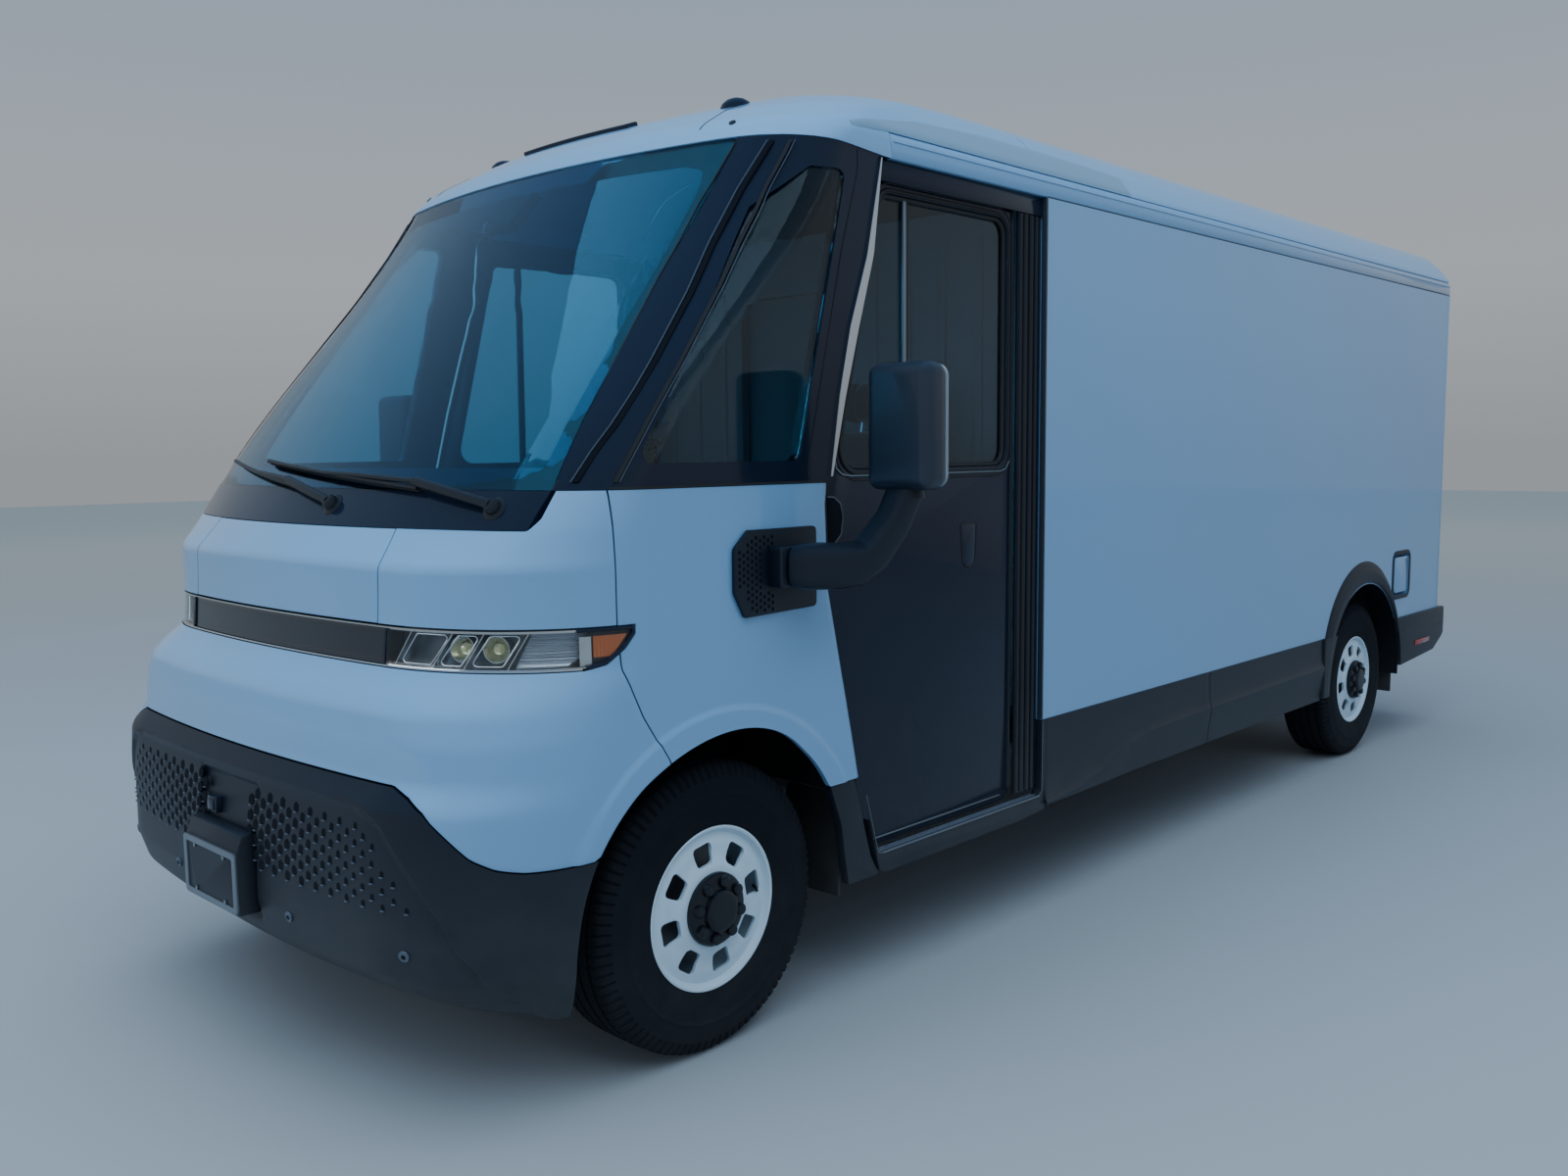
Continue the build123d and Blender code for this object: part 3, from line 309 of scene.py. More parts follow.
def skin_panel(name, across, up, left, right, bottom, top, thickness=0.003, edge=0.0, relief=0.0):
    """A panel of the nose between two u(z) edges and two z(u) edges, standing out by its relief."""
    left, right, bottom, top = by_height(left), by_height(right), steady(bottom), steady(top)

    def place(a, b):
        z = (bottom(0.0) + top(0.0)) / 2
        for _ in range(14):
            u = left(z) + a * (right(z) - left(z))
            z += 0.55 * (bottom(u) + b * (top(u) - bottom(u)) - z)
        point = skin(u, z)
        if relief:
            point += outward(u, z) * steady(relief)(point, u, z)
        return point

    panel = grid(name, across, up, place)
    change(panel, "SOLIDIFY", thickness=thickness, offset=-1.0)
    if edge:
        soften(panel, edge)
    else:
        smooth(panel)
    return panel


def other_side(piece, name):
    """A copy of a piece on the van's other side."""
    twin = linked(name, piece.data.copy())
    twin.data.transform(Matrix.Diagonal((-1, 1, 1, 1)))
    twin.data.flip_normals()
    return twin


# ---------------- finishes shared by many pieces
# Three effects are used all over the van: a fine grain or orange peel in the surface, slow
# clouds of slightly different tone, and a film of road dust that thickens towards the ground.
def group(name, inputs, outputs):
    """A shader node group with number inputs and the given outputs."""
    tree = bpy.data.node_groups.new(name, "ShaderNodeTree")
    for label, value in inputs:
        socket = tree.interface.new_socket(label, in_out="INPUT", socket_type="NodeSocketFloat")
        socket.default_value = value
    for label, kind in outputs:
        tree.interface.new_socket(label, in_out="OUTPUT", socket_type=kind)
    return tree, tree.nodes.new("NodeGroupInput"), tree.nodes.new("NodeGroupOutput")


def add(tree, kind, links=(), **values):
    """A node with some inputs set and others linked from (socket, input name or number)."""
    made = tree.nodes.new(kind)
    for key, value in values.items():
        if hasattr(made, key):
            setattr(made, key, value)
        else:
            made.inputs[key.replace("_", " ")].default_value = value
    for source, target in links:
        tree.links.new(source, made.inputs[target])
    return made


def math_node(tree, operation, first, second, third=None, clamp=False):
    """One step of arithmetic on sockets or numbers; its result's socket."""
    made = tree.nodes.new("ShaderNodeMath")
    made.operation = operation
    made.use_clamp = clamp
    for number, value in enumerate((first, second, third)):
        if value is None:
            continue
        if isinstance(value, (int, float)):
            made.inputs[number].default_value = value
        else:
            tree.links.new(value, made.inputs[number])
    return made.outputs[0]


grain, grain_in, grain_out = group("surface_grain", [("Scale", 600), ("Depth", 0.2), ("Reach", 0.0005)],
    [("Normal", "NodeSocketVector"), ("Height", "NodeSocketFloat")])
place_node = add(grain, "ShaderNodeTexCoord")
pits = add(grain, "ShaderNodeTexNoise", [(place_node.outputs["Object"], "Vector"), (grain_in.outputs["Scale"],
    "Scale")], Detail=3.0, Roughness=0.6)
relief_node = add(grain, "ShaderNodeBump", [(pits.outputs["Fac"], "Height"), (grain_in.outputs["Depth"],
    "Strength"), (grain_in.outputs["Reach"], "Distance")])
grain.links.new(relief_node.outputs["Normal"], grain_out.inputs["Normal"])
grain.links.new(pits.outputs["Fac"], grain_out.inputs["Height"])

clouds, clouds_in, clouds_out = group("slow_clouds", [("Scale", 1.5), ("Spread", 0.1)],
    [("Value", "NodeSocketFloat")])
place_node = add(clouds, "ShaderNodeTexCoord")
drift = add(clouds, "ShaderNodeTexNoise", [(place_node.outputs["Object"], "Vector"),
    (clouds_in.outputs["Scale"], "Scale")], Detail=5.0, Roughness=0.55)
swing = math_node(clouds, "SUBTRACT", drift.outputs["Fac"], 0.5)
clouds.links.new(math_node(clouds, "MULTIPLY_ADD", swing, clouds_in.outputs["Spread"], 1.0),
    clouds_out.inputs["Value"])

dust, dust_in, dust_out = group("road_dust", [("Top", 0.9), ("Amount", 0.3)], [("Mask", "NodeSocketFloat")])
place_node = add(dust, "ShaderNodeTexCoord")
apart = add(dust, "ShaderNodeSeparateXYZ", [(place_node.outputs["Object"], "Vector")])
low_down = math_node(dust, "DIVIDE", apart.outputs["Z"], dust_in.outputs["Top"])
film = math_node(dust, "SUBTRACT", 1.0, low_down, clamp=True)
specks = add(dust, "ShaderNodeTexNoise", [(place_node.outputs["Object"], "Vector")], Scale=9.0, Detail=8.0,
    Roughness=0.7)
broken = math_node(dust, "MULTIPLY", film, math_node(dust, "MULTIPLY", specks.outputs["Fac"], 1.6))
dust.links.new(math_node(dust, "MULTIPLY", broken, dust_in.outputs["Amount"], clamp=True),
    dust_out.inputs["Mask"])

DUST = (0.2, 0.21, 0.21, 1)
CLEAN = (0.5, 0.0)              # road dust's height and amount where there is none


def material(name, slot, **values):
    """A new material that remembers its slot, with some of its shader's inputs set."""
    made = bpy.data.materials.new(name)
    made["slot"] = slot
    made.use_nodes = True
    shader = made.node_tree.nodes["Principled BSDF"]
    for key, value in values.items():
        shader.inputs[key.replace("_", " ")].default_value = value
    return made, made.node_tree, shader


def clouded(tree, colour, scale, spread):
    """A colour with slow light and dark clouds; its socket."""
    cloudy = add(tree, "ShaderNodeGroup", node_tree=clouds, Scale=scale, Spread=spread)
    tinted = add(tree, "ShaderNodeVectorMath", [(cloudy.outputs["Value"], "Scale")], operation="SCALE")
    tinted.inputs[0].default_value = colour
    return tinted.outputs["Vector"]


def coating(name, colour, rough, metal=0.0, coat=0.0, peel=(700, 0.15, 0.0004), tones=(1.6, 0.08),
        dirt=(0.8, 0.25), spread=0.06, specular=0.5, sheen=0.0, slot=""):
    """A solid finish: a colour with slow tones, grain, dust low down and an optional clear coat."""
    made, tree, shader = material(name, slot, Metallic=metal, Coat_Weight=coat, Coat_Roughness=0.04,
        Specular_IOR_Level=specular, Sheen_Weight=sheen)
    dusty = add(tree, "ShaderNodeGroup", node_tree=dust, Top=dirt[0], Amount=dirt[1])
    mixed = add(tree, "ShaderNodeMix", data_type="RGBA")
    tree.links.new(dusty.outputs["Mask"], mixed.inputs["Factor"])
    tree.links.new(clouded(tree, colour, *tones), mixed.inputs[6])
    mixed.inputs[7].default_value = DUST
    tree.links.new(mixed.outputs[2], shader.inputs["Base Color"])
    grained = add(tree, "ShaderNodeGroup", node_tree=grain, Scale=peel[0], Depth=peel[1], Reach=peel[2])
    tree.links.new(grained.outputs["Normal"], shader.inputs["Normal"])
    uneven = math_node(tree, "MULTIPLY_ADD", grained.outputs["Height"], spread, rough - spread / 2)
    matted = math_node(tree, "MULTIPLY_ADD", dusty.outputs["Mask"], 0.35, uneven, clamp=True)
    tree.links.new(matted, shader.inputs["Roughness"])
    return made


def glazing(name, colour, ior, streaks=0.02, mirror=(1.0, 1.0, 1.0), slot="dark_glass"):
    """Clear or tinted glass with faint wiping streaks in its gloss."""
    made, tree, shader = material(name, slot, Transmission_Weight=1.0, IOR=ior, Specular_Tint=(*mirror, 1.0))
    tree.links.new(clouded(tree, colour, 3.0, 0.05), shader.inputs["Base Color"])
    grained = add(tree, "ShaderNodeGroup", node_tree=grain, Scale=40.0, Depth=0.03, Reach=0.001)
    wiped = math_node(tree, "MULTIPLY_ADD", grained.outputs["Height"], streaks, 0.0)
    tree.links.new(wiped, shader.inputs["Roughness"])
    return made


# Body paint: white under clear coat, with its slight orange peel; its pale blue is the cool light's
# tint painted into the colour.
white_paint = coating("white_paint", (0.15, 0.335, 0.57), 0.3, coat=0.9, peel=(260, 0.05, 0.0006),
    tones=(0.9, 0.05), dirt=(0.75, 0.16), slot="white_paint")
# Bumper, sills and arches: moulded through-coloured plastic with a fine leather-like grain.
grey_plastic = coating("grained_plastic", (0.004, 0.008, 0.016), 0.42, specular=0.42,
    peel=(1100, 0.35, 0.0005), tones=(3.0, 0.25), dirt=(0.75, 0.22), spread=0.12, slot="black_plastic")
# Doors, pillars and the panel under the windscreen: gloss black.
gloss_black = coating("gloss_black", (0.006, 0.011, 0.024), 0.14, coat=0.22, specular=0.22,
    peel=(300, 0.03, 0.0005), dirt=(0.9, 0.12), slot="gloss_black")
matt_black = coating("matt_black", (0.0035, 0.005, 0.009), 0.75, peel=(900, 0.3, 0.0006), dirt=(0.8, 0.12),
    specular=0.12)
rubber = coating("seal_rubber", (0.01, 0.011, 0.013), 0.6, peel=(1600, 0.25, 0.0004))
chrome = coating("bright_trim", (0.66, 0.7, 0.74), 0.16, metal=1.0, peel=(500, 0.03, 0.0003), dirt=(0.5, 0.1))
tinted_glass = glazing("tinted_glass", (0.4, 0.54, 0.6), ior=1.38)
# Windscreen: its blue colour and the blue tint of its reflections are a painted reflection of a blue sky.
windscreen_glass = glazing("windscreen_glass", (0.15, 0.52, 0.82), ior=1.52, mirror=(0.4, 0.8, 1.0))

# The floor is painted paler and warmer far from the lamps, painted light that lets it meet the room
# without a dark band.
floor_paint = coating("studio_floor", (0.28, 0.315, 0.35), 0.65, peel=(30, 0.1, 0.001), tones=(0.25, 0.1),
    dirt=CLEAN, specular=0.3)
floor_tree = floor_paint.node_tree
floor_base = floor_tree.nodes["Principled BSDF"].inputs["Base Color"]
floor_spot = add(floor_tree, "ShaderNodeTexCoord")
floor_reach = add(floor_tree, "ShaderNodeVectorMath", [(floor_spot.outputs["Object"], 0)], operation="LENGTH")
floor_share = add(floor_tree, "ShaderNodeMapRange", [(floor_reach.outputs["Value"], "Value")],
    interpolation_type="SMOOTHSTEP", From_Min=4.0, From_Max=24.0)
floor_mix = add(floor_tree, "ShaderNodeMix", [(floor_share.outputs["Result"], "Factor"),
    (floor_base.links[0].from_socket, 6)], data_type="RGBA")
floor_mix.inputs[7].default_value = (1.0, 0.86, 0.66, 1)
floor_tree.links.new(floor_mix.outputs[2], floor_base)
ground.data.materials.append(floor_paint)

# ---------------- shapes used by many pieces
# Plates cut from an outline, blocks, tubes, turned parts and copies scattered over a surface
# make up the rest of the van; each has its edges rounded as the real pieces have.
def rounded(points, radius, steps=5):
    """The corners of an outline replaced by arcs; radius is one number or one for each corner."""
    made = []
    count = len(points)
    for k, corner in enumerate(points):
        size = radius[k] if isinstance(radius, (list, tuple)) else radius
        here = Vector(corner)
        back, ahead = (Vector(points[k - 1]) - here), (Vector(points[(k + 1) % count]) - here)
        if size <= 0:
            made.append(tuple(here))
            continue
        half = back.angle(ahead) / 2
        reach = min(size / tan(half), 0.49 * back.length, 0.49 * ahead.length)
        size = reach * tan(half)
        middle = here + (back.normalized() + ahead.normalized()).normalized() * size / sin(half)
        first, last = here + back.normalized() * reach - middle, here + ahead.normalized() * reach - middle
        turn = first.angle_signed(last)
        for step in range(steps + 1):
            share = -turn * step / steps
            made.append((middle.x + first.x * cos(share) - first.y * sin(share), middle.y + first.x
                * sin(share) + first.y * cos(share)))
    return made


def oblong(low_x, high_x, low_z, high_z, corner, steps=5):
    """A rectangle's outline with rounded corners."""
    return rounded([(low_x, low_z), (high_x, low_z), (high_x, high_z), (low_x, high_z)], corner, steps)


def faces_out(piece, merge=0.0):
    """Turns every face outward, after joining points nearer than merge."""
    pick(piece)
    bpy.ops.object.mode_set(mode="EDIT")
    bpy.ops.mesh.select_all(action="SELECT")
    if merge:
        bpy.ops.mesh.remove_doubles(threshold=merge)
        bpy.ops.mesh.select_all(action="SELECT")
    bpy.ops.mesh.normals_make_consistent(inside=False)
    bpy.ops.object.mode_set(mode="OBJECT")


def slab(name, points, axis, start, depth, edge=0.0, segments=2):
    """A flat outline extruded along an axis: points are the two other coordinates, in order."""
    pick()
    bpy.ops.mesh.primitive_circle_add(vertices=len(points), fill_type="NGON", radius=1)
    solid = named(name)
    for vertex, (p, q) in zip(solid.data.vertices, points):
        vertex.co = {0: at(start, p, q), 1: at(p, start, q), 2: at(p, q, start)}[axis]
    push = [0.0, 0.0, 0.0]
    push[axis] = depth
    bpy.ops.object.mode_set(mode="EDIT")
    bpy.ops.mesh.select_all(action="SELECT")
    bpy.ops.mesh.extrude_region_move(TRANSFORM_OT_translate={"value": push})
    faces_out(solid)
    if edge:
        soften(solid, edge, segments)
    return solid


def block(name, x, y, z, edge, segments=2):
    """A block with rounded edges between two x, two y from the front axle and two z."""
    pick()
    bpy.ops.mesh.primitive_cube_add(size=1)
    solid = named(name)
    for vertex in solid.data.vertices:
        vertex.co = at(x[vertex.co.x > 0], y[vertex.co.y > 0], z[vertex.co.z > 0])
    if edge:
        soften(solid, edge, segments)
    return solid


def cut_away(piece, *cutters):
    """Cuts other solids out of a piece and removes them."""
    for cutter in cutters:
        change(piece, "BOOLEAN", operation="DIFFERENCE", solver="EXACT", object=cutter)
        bpy.data.objects.remove(cutter, do_unlink=True)
    return piece


def join(name, *pieces):
    """Several pieces as one object."""
    pick(*pieces)
    if len(pieces) > 1:
        bpy.ops.object.join()
    return named(name)


def tube(name, points, radius, closed=False, sides=3):
    """A round tube along points given with y from the front axle."""
    curve = bpy.data.curves.new(name, "CURVE")
    curve.dimensions = "3D"
    curve.bevel_depth = radius
    curve.bevel_resolution = sides
    curve.use_fill_caps = True
    path = curve.splines.new("POLY")
    path.points.add(len(points) - 1)
    for spot, (x, y, z) in zip(path.points, points):
        spot.co = (x, AXLE_Y + y, z, 1)
    path.use_cyclic_u = closed
    pick(linked(name, curve))
    bpy.ops.object.convert(target="MESH")
    piece = named(name)
    faces_out(piece, 0.00001)
    smooth(piece, 40)
    return piece


def turned(name, profile, steps, centre, closed=False, axis="X"):
    """A profile of (along, radius) points spun round an axle through centre."""
    middle = at(*centre)
    pick()
    bpy.ops.mesh.primitive_circle_add(vertices=len(profile), fill_type="NOTHING", radius=1)
    piece = named(name)
    turn = {"X": (1, 0, 0), "Y": (0, 1, 0), "Z": (0, 0, 1)}[axis]
    out = (0, 0, 1) if axis != "Z" else (1, 0, 0)
    for vertex, (along, radius) in zip(piece.data.vertices, profile):
        vertex.co = middle + Vector(turn) * along + Vector(out) * radius
    if not closed:
        for edge in piece.data.edges:
            edge.select = set(edge.vertices) == {0, len(profile) - 1}
        for vertex in piece.data.vertices:
            vertex.select = vertex.index in (0, len(profile) - 1)
    bpy.ops.object.mode_set(mode="EDIT")
    if not closed:
        bpy.ops.mesh.select_mode(type="EDGE")
        bpy.ops.mesh.delete(type="EDGE_FACE")
        bpy.ops.mesh.select_mode(type="VERT")
    bpy.ops.mesh.select_all(action="SELECT")
    bpy.ops.mesh.spin(steps=steps, angle=2 * pi, center=middle, axis=turn)
    faces_out(piece, 0.00002)
    smooth(piece)
    return piece


def scattered(name, template, spots):
    """One mesh of copies of template, each moved by its matrix; the template is removed."""
    vertices = [vertex.co.copy() for vertex in template.data.vertices]
    faces = [list(polygon.vertices) for polygon in template.data.polygons]
    bpy.data.objects.remove(template, do_unlink=True)
    mesh = bpy.data.meshes.new(name)
    mesh.from_pydata([spot @ vertex for spot in spots for vertex in vertices], [],
        [[k * len(vertices) + corner for corner in face] for k in range(len(spots)) for face in faces])
    piece = linked(name, mesh)
    smooth(piece)
    return piece


def quarter_turn(axis):
    """A quarter turn about an axis through the origin."""
    return Matrix.Rotation(pi / 2, 4, axis)


def prism(sides, radius, depth):
    """A small prism about the origin, its faces towards plus and minus z."""
    pick()
    bpy.ops.mesh.primitive_cylinder_add(vertices=sides, radius=radius, depth=depth)
    return bpy.context.object


def facing_out(point, out):
    """Matrix that stands a small shape on a point, its z along out."""
    return Matrix.Translation(point) @ out.to_track_quat("Z", "Y").to_matrix().to_4x4()


def plain_rod(length, radius):
    """Profile of a plain cylinder for turned()."""
    return [(0.0, 0.0), (0.0, radius), (length, radius), (length, 0.0)]


def skin_fin(name, low, high, near, far, thickness, steps=8):
    """A thin wall standing square to the skin from (u, z) low to high, between two depths."""
    def place(a, b):
        u, z = low[0] + a * (high[0] - low[0]), low[1] + a * (high[1] - low[1])
        return skin(u, z) - outward(u, z) * (near + b * (far - near))
    fin = grid(name, steps, 2, place)
    change(fin, "SOLIDIFY", thickness=thickness, offset=0.0)
    smooth(fin)
    return fin


def skin_strip(name, edge, z0, z1, width, stand, thickness):
    """A narrow strip up the skin along a u(z) edge, standing proud by stand."""
    def right(z):
        step = (skin(edge(z) + 0.01, z) - skin(edge(z), z)).length / 0.01
        return edge(z) + width / max(step, 0.05)
    return skin_panel(name, 2, 40, edge, right, z0, z1, thickness=thickness, relief=stand)


# ---------------- nose panels
# Painted composite mouldings 4 mm thick with returned edges: the fascia under the lamps, the
# hood between its two seams, a corner panel each side, and the fenders over the front wheels.
HALF_GAP = 0.002
COWL_Z = 1.449
BELT_Z = 1.542
LAMP_HIGH = 1.212
LAMP_FOOT = [(-0.43, 1.113), (-0.379, 1.124), (-0.33, 1.16), (-0.302, 1.192), (-0.3, 1.212)]
SEAM_LINE = [(0.56, -0.06), (0.862, -0.205), (0.979, -0.281), (1.106, -0.341), (1.224, -0.35),
    (1.542, -0.355)]
HOOD_LINE = [(1.212, 0.529), (1.362, 0.529), (1.449, 0.505)]
BUMPER_LINE = [(0.736, 0.854), (0.795, 0.834), (0.852, 0.804), (0.898, 0.751), (0.94, 0.698), (0.975, 0.67),
    (1.006, 0.656), (1.045, 0.648)]
DOOR_LINE = [(0.412, 0.622), (1.241, 0.43), (1.48, 0.42), (1.576, 0.431), (1.788, 0.486), (1.984, 0.545),
    (2.19, 0.611), (2.473, 0.647)]
ARCH_RADIUS = 0.495
AXLE_Z = 0.402


def seam_u(z, gap):
    """The seam between corner and fender, gap metres ahead of it."""
    return u_at(1, line(SEAM_LINE, z) - gap, z)


def hood_u(z, gap=0.0):
    """The seam beside the hood, gap metres outside it."""
    return u_at(0, line(HOOD_LINE, z) + gap, z)


def bumper_top(u, gap):
    """Height of the edge between bumper and fascia."""
    z = 0.8
    for _ in range(5):
        z = line(BUMPER_LINE, abs(skin(u, z).x))
    return z + gap


def lamp_foot(u, gap):
    """Height of the lamps' lower edge."""
    return line(LAMP_FOOT, skin(u, 1.12).y - AXLE_Y) - gap


def arch_height(y):
    """Height of the front wheel opening's edge at a distance from the axle."""
    return AXLE_Z + sqrt(max(0.0, ARCH_RADIUS ** 2 - y * y))


def fascia_foot(u):
    """Lower edge of the fascia: the bumper's edge, then the wheel opening."""
    return max(bumper_top(u, HALF_GAP), arch_height(skin(u, 0.75).y - AXLE_Y))


def ramp(value, low, high):
    """A smooth step from 0 at low to 1 at high."""
    share = min(1.0, max(0.0, (value - low) / (high - low)))
    return share * share * (3 - 2 * share)


def arch_lip(point, u, z):
    """A soft raised band round the front wheel opening."""
    y = point.y - AXLE_Y
    return 0.007 * ramp(0.068 - (hypot(y, z - AXLE_Z) - ARCH_RADIUS), 0.0, 0.014)


finish(skin_panel("fascia", 220, 36, lambda z: -seam_u(z, HALF_GAP), lambda z: seam_u(z, HALF_GAP),
    fascia_foot, lambda u: min(lamp_foot(u, HALF_GAP), 1.144), relief=arch_lip, thickness=0.004, edge=0.0025),
    white_paint, "front_fascia")

finish(skin_panel("hood_skin", 90, 30, lambda z: -hood_u(z), hood_u, LAMP_HIGH + 0.004, COWL_Z - HALF_GAP,
    thickness=0.004, edge=0.0025), white_paint, "hood")

corner = skin_panel("corner_left", 110, 44, lambda z: hood_u(z, 0.004), lambda z: seam_u(z, HALF_GAP),
    LAMP_HIGH + 0.004, BELT_Z, thickness=0.004)
COWL_END = rounded([(0.3, COWL_Z - HALF_GAP), (0.903, COWL_Z - HALF_GAP), (0.92, 1.475), (0.928, 1.58),
    (0.3, 1.58)], [0, 0.012, 0.02, 0, 0], 4)
corner = cut_away(corner, slab("cowl_notch", COWL_END, 1, -0.9, 0.9))
soften(corner, 0.002)
pair(corner, white_paint, "corner_panels")


def fender_foot(u):
    """Lower edge of the fender: the lamp's tail ahead, then the wheel arch and a short flat foot."""
    y = skin(u, 0.8).y - AXLE_Y
    return max(0.668, arch_height(y))


def door_u(z, gap):
    """The doorway's front edge."""
    return u_at(1, line(DOOR_LINE, z) - gap, z)


def fender_relief(point, u, z):
    """The lip round the wheel, and the rounded edge beside the door."""
    near = max(0.0, 0.034 - (line(DOOR_LINE, z) - 0.004 - (point.y - AXLE_Y)))
    return arch_lip(point, u, z) - (0.034 - sqrt(0.034 ** 2 - min(near, 0.033) ** 2)) * 0.5


fender = skin_panel("fender_skin_left", 110, 90, lambda z: seam_u(z, -HALF_GAP), lambda z: door_u(z, 0.004),
    fender_foot, BELT_Z, thickness=0.016, relief=fender_relief)
LAMP_TIP = [(-0.52, 1.11), (-0.43, 1.11), (-0.377, 1.121), (-0.327, 1.157), (-0.299, 1.19), (-0.297, 1.215),
    (-0.52, 1.215)]
fender = cut_away(fender, slab("lamp_notch", LAMP_TIP, 0, 0.85, 0.3))
soften(fender, 0.003)
pair(fender, white_paint, "fender_left")

# ---------------- front bumper
# One grained plastic moulding: a smooth band along its top that runs down each side, a set-in
# face with small honeycomb cells of painted shade and painted highlight, and a plain recess behind
# the number plate.
FACE_LINE = [(0.0, 0.802), (0.64, 0.8), (0.7, 0.786), (0.741, 0.762), (0.785, 0.706), (0.832, 0.64),
    (0.88, 0.56), (0.93, 0.44), (0.96, 0.33)]


def bumper_relief(point, u, z):
    """How far the bumper's face lies behind its surface."""
    x = abs(point.x)
    inside = ramp(line(FACE_LINE, x) - z, -0.006, 0.012) if x < 0.96 else 0.0
    middle = ramp(0.172 - x, -0.008, 0.008) * ramp(z, 0.4, 0.42) * ramp(0.775 - z, -0.01, 0.01)
    return -0.011 * inside - 0.012 * middle


def bumper_end(z):
    """Rear edge of the bumper, on the wheel arch."""
    if z <= AXLE_Z:
        y = -ARCH_RADIUS
    else:
        y = -sqrt(max(0.0, ARCH_RADIUS ** 2 - (z - AXLE_Z) ** 2))
    return u_at(1, min(y, -0.4), z)


finish(skin_panel("bumper_skin", 300, 90, lambda z: -bumper_end(z), bumper_end, 0.263, lambda u: bumper_top(u,
    -HALF_GAP), thickness=0.005, edge=0.002, relief=bumper_relief), grey_plastic, "front_bumper")

# ---------------- bumper's honeycomb and fittings
# The moulding's face carries rows of small six-sided cells, each a flat matt black hexagon of painted
# shade, large by the middle and shrinking outward, with a short lighter ledge under it that is a
# painted highlight on the cell's lip.  Round clips hold its lower edge, and a sensor sits over the plate.
def face_spot(x, z, depth, wide=1.0, high=1.0):
    """Matrix that lays a small shape on the bumper's face, its z outward and its y up."""
    u = copysign(u_at(0, abs(x), z), x)
    out = outward(u, z)
    side = Vector((0, 0, 1)).cross(out).normalized()
    up = out.cross(side)
    turn = Matrix((side * wide, up * high, out)).transposed().to_4x4()
    return Matrix.Translation(skin(u, z) - out * depth) @ turn


# A lighter plastic: on the bumper cells' ledges it is a painted highlight, the glint on each lip; on clips
# and treads it is lighter, worn plastic.
worn_and_highlit_plastic = coating("worn_and_highlit_edges", (0.075, 0.105, 0.15), 0.38, peel=(900, 0.2, 0.0004), dirt=(0.75, 0.2))
pits, ledges = [], []
for column in range(22):
    x = 0.142 + 0.0335 * column
    fade = ramp(0.8 - x, 0.0, 0.62)
    for row in range(6):
        z = 0.571 + 0.0405 * row + 0.0202 * (column % 2)
        if z > min(0.772, line(FACE_LINE, x + 0.035) - 0.012) or (x > 0.7 and z > line(FACE_LINE, x + 0.05)):
            continue
        for way in (-1, 1):
            pits.append(face_spot(way * x, z, 0.0121, 0.42 + 0.58 * fade, 0.55 + 0.5 * fade))
            ledges.append(face_spot(way * x, z - 0.0138 * (0.55 + 0.5 * fade), 0.0098))
# The cells' dark is painted shade: flat matt black hexagons standing on the face.
finish(scattered("bumper_cell_shade", prism(6, 0.0155, 0.003), pits), matt_black)
ledge = prism(4, 0.0012, 0.007)
ledge.data.transform(Matrix.Diagonal((6.2, 1.3, 1, 1)) @ Matrix.Rotation(radians(45), 4, "Z"))
finish(scattered("bumper_cell_lit_ledges", ledge, ledges), worn_and_highlit_plastic)

clips = [face_spot(x, z, 0.0095) for x, z in ((0.798, 0.457), (-0.798, 0.457), (0.34, 0.459), (-0.34, 0.459))]
finish(scattered("bumper_clips", prism(16, 0.014, 0.006), clips), worn_and_highlit_plastic)
finish(scattered("bumper_clip_middles", prism(12, 0.006, 0.009), clips), matt_black)

finish(join("bumper_sensor", block("sensor_box", (-0.102, -0.048), (-0.89, -0.862), (0.66, 0.706), 0.005),
    block("sensor_face", (-0.094, -0.056), (-0.894, -0.885), (0.668, 0.698), 0.003)), gloss_black)
# A matt black sheet set back behind the gap over the bumper is painted shade in the gap.
finish(skin_panel("bumper_gap_shade", 200, 3, lambda z: -bumper_end(z), bumper_end, lambda u: bumper_top(u,
    -0.025), lambda u: bumper_top(u, 0.015), thickness=0.002, relief=-0.009), matt_black)

# ---------------- number plate
# A blank dark plate with four holes, screwed to a plastic pad on the bumper, in a satin metal
# frame.  The pad's upper end slopes back over the plate.
plate_blank = coating("blank_plate", (0.006, 0.009, 0.016), 0.42, coat=0.15, peel=(220, 0.04, 0.0004),
    specular=0.25, dirt=(0.8, 0.05), slot="blank_plate")
satin_metal = coating("satin_metal", (0.26, 0.3, 0.34), 0.34, metal=0.9, peel=(800, 0.1, 0.0003),
    dirt=(0.8, 0.3))


def plate_shape(grow, corner):
    """The plate's outline grown all round."""
    half, low, high = 0.1525 + grow, 0.44 - grow, 0.592 + grow
    return oblong(-half, half, low, high, corner)


plate = slab("number_plate_blank", plate_shape(0.0, 0.01), 1, -0.934, 0.004, edge=0.0008)
for x in (-0.089, 0.089):
    for z in (0.4555, 0.5765):
        hole = prism(16, 0.0035, 0.03)
        hole.data.transform(Matrix.Translation(at(x, -0.932, z)) @ quarter_turn("X"))
        plate = cut_away(plate, hole)
finish(plate, plate_blank, "number_plate")
frame_ring = cut_away(slab("plate_frame", plate_shape(0.007, 0.014), 1, -0.9375, 0.01),
    slab("plate_window", plate_shape(-0.011, 0.006), 1, -0.96, 0.05))
soften(frame_ring, 0.0015)
finish(frame_ring, satin_metal)
pad = slab("plate_pad", [(-0.9285, 0.428), (-0.9285, 0.6), (-0.914, 0.64), (-0.886, 0.646), (-0.87, 0.64),
    (-0.87, 0.428)], 0, -0.158, 0.316, edge=0.004)
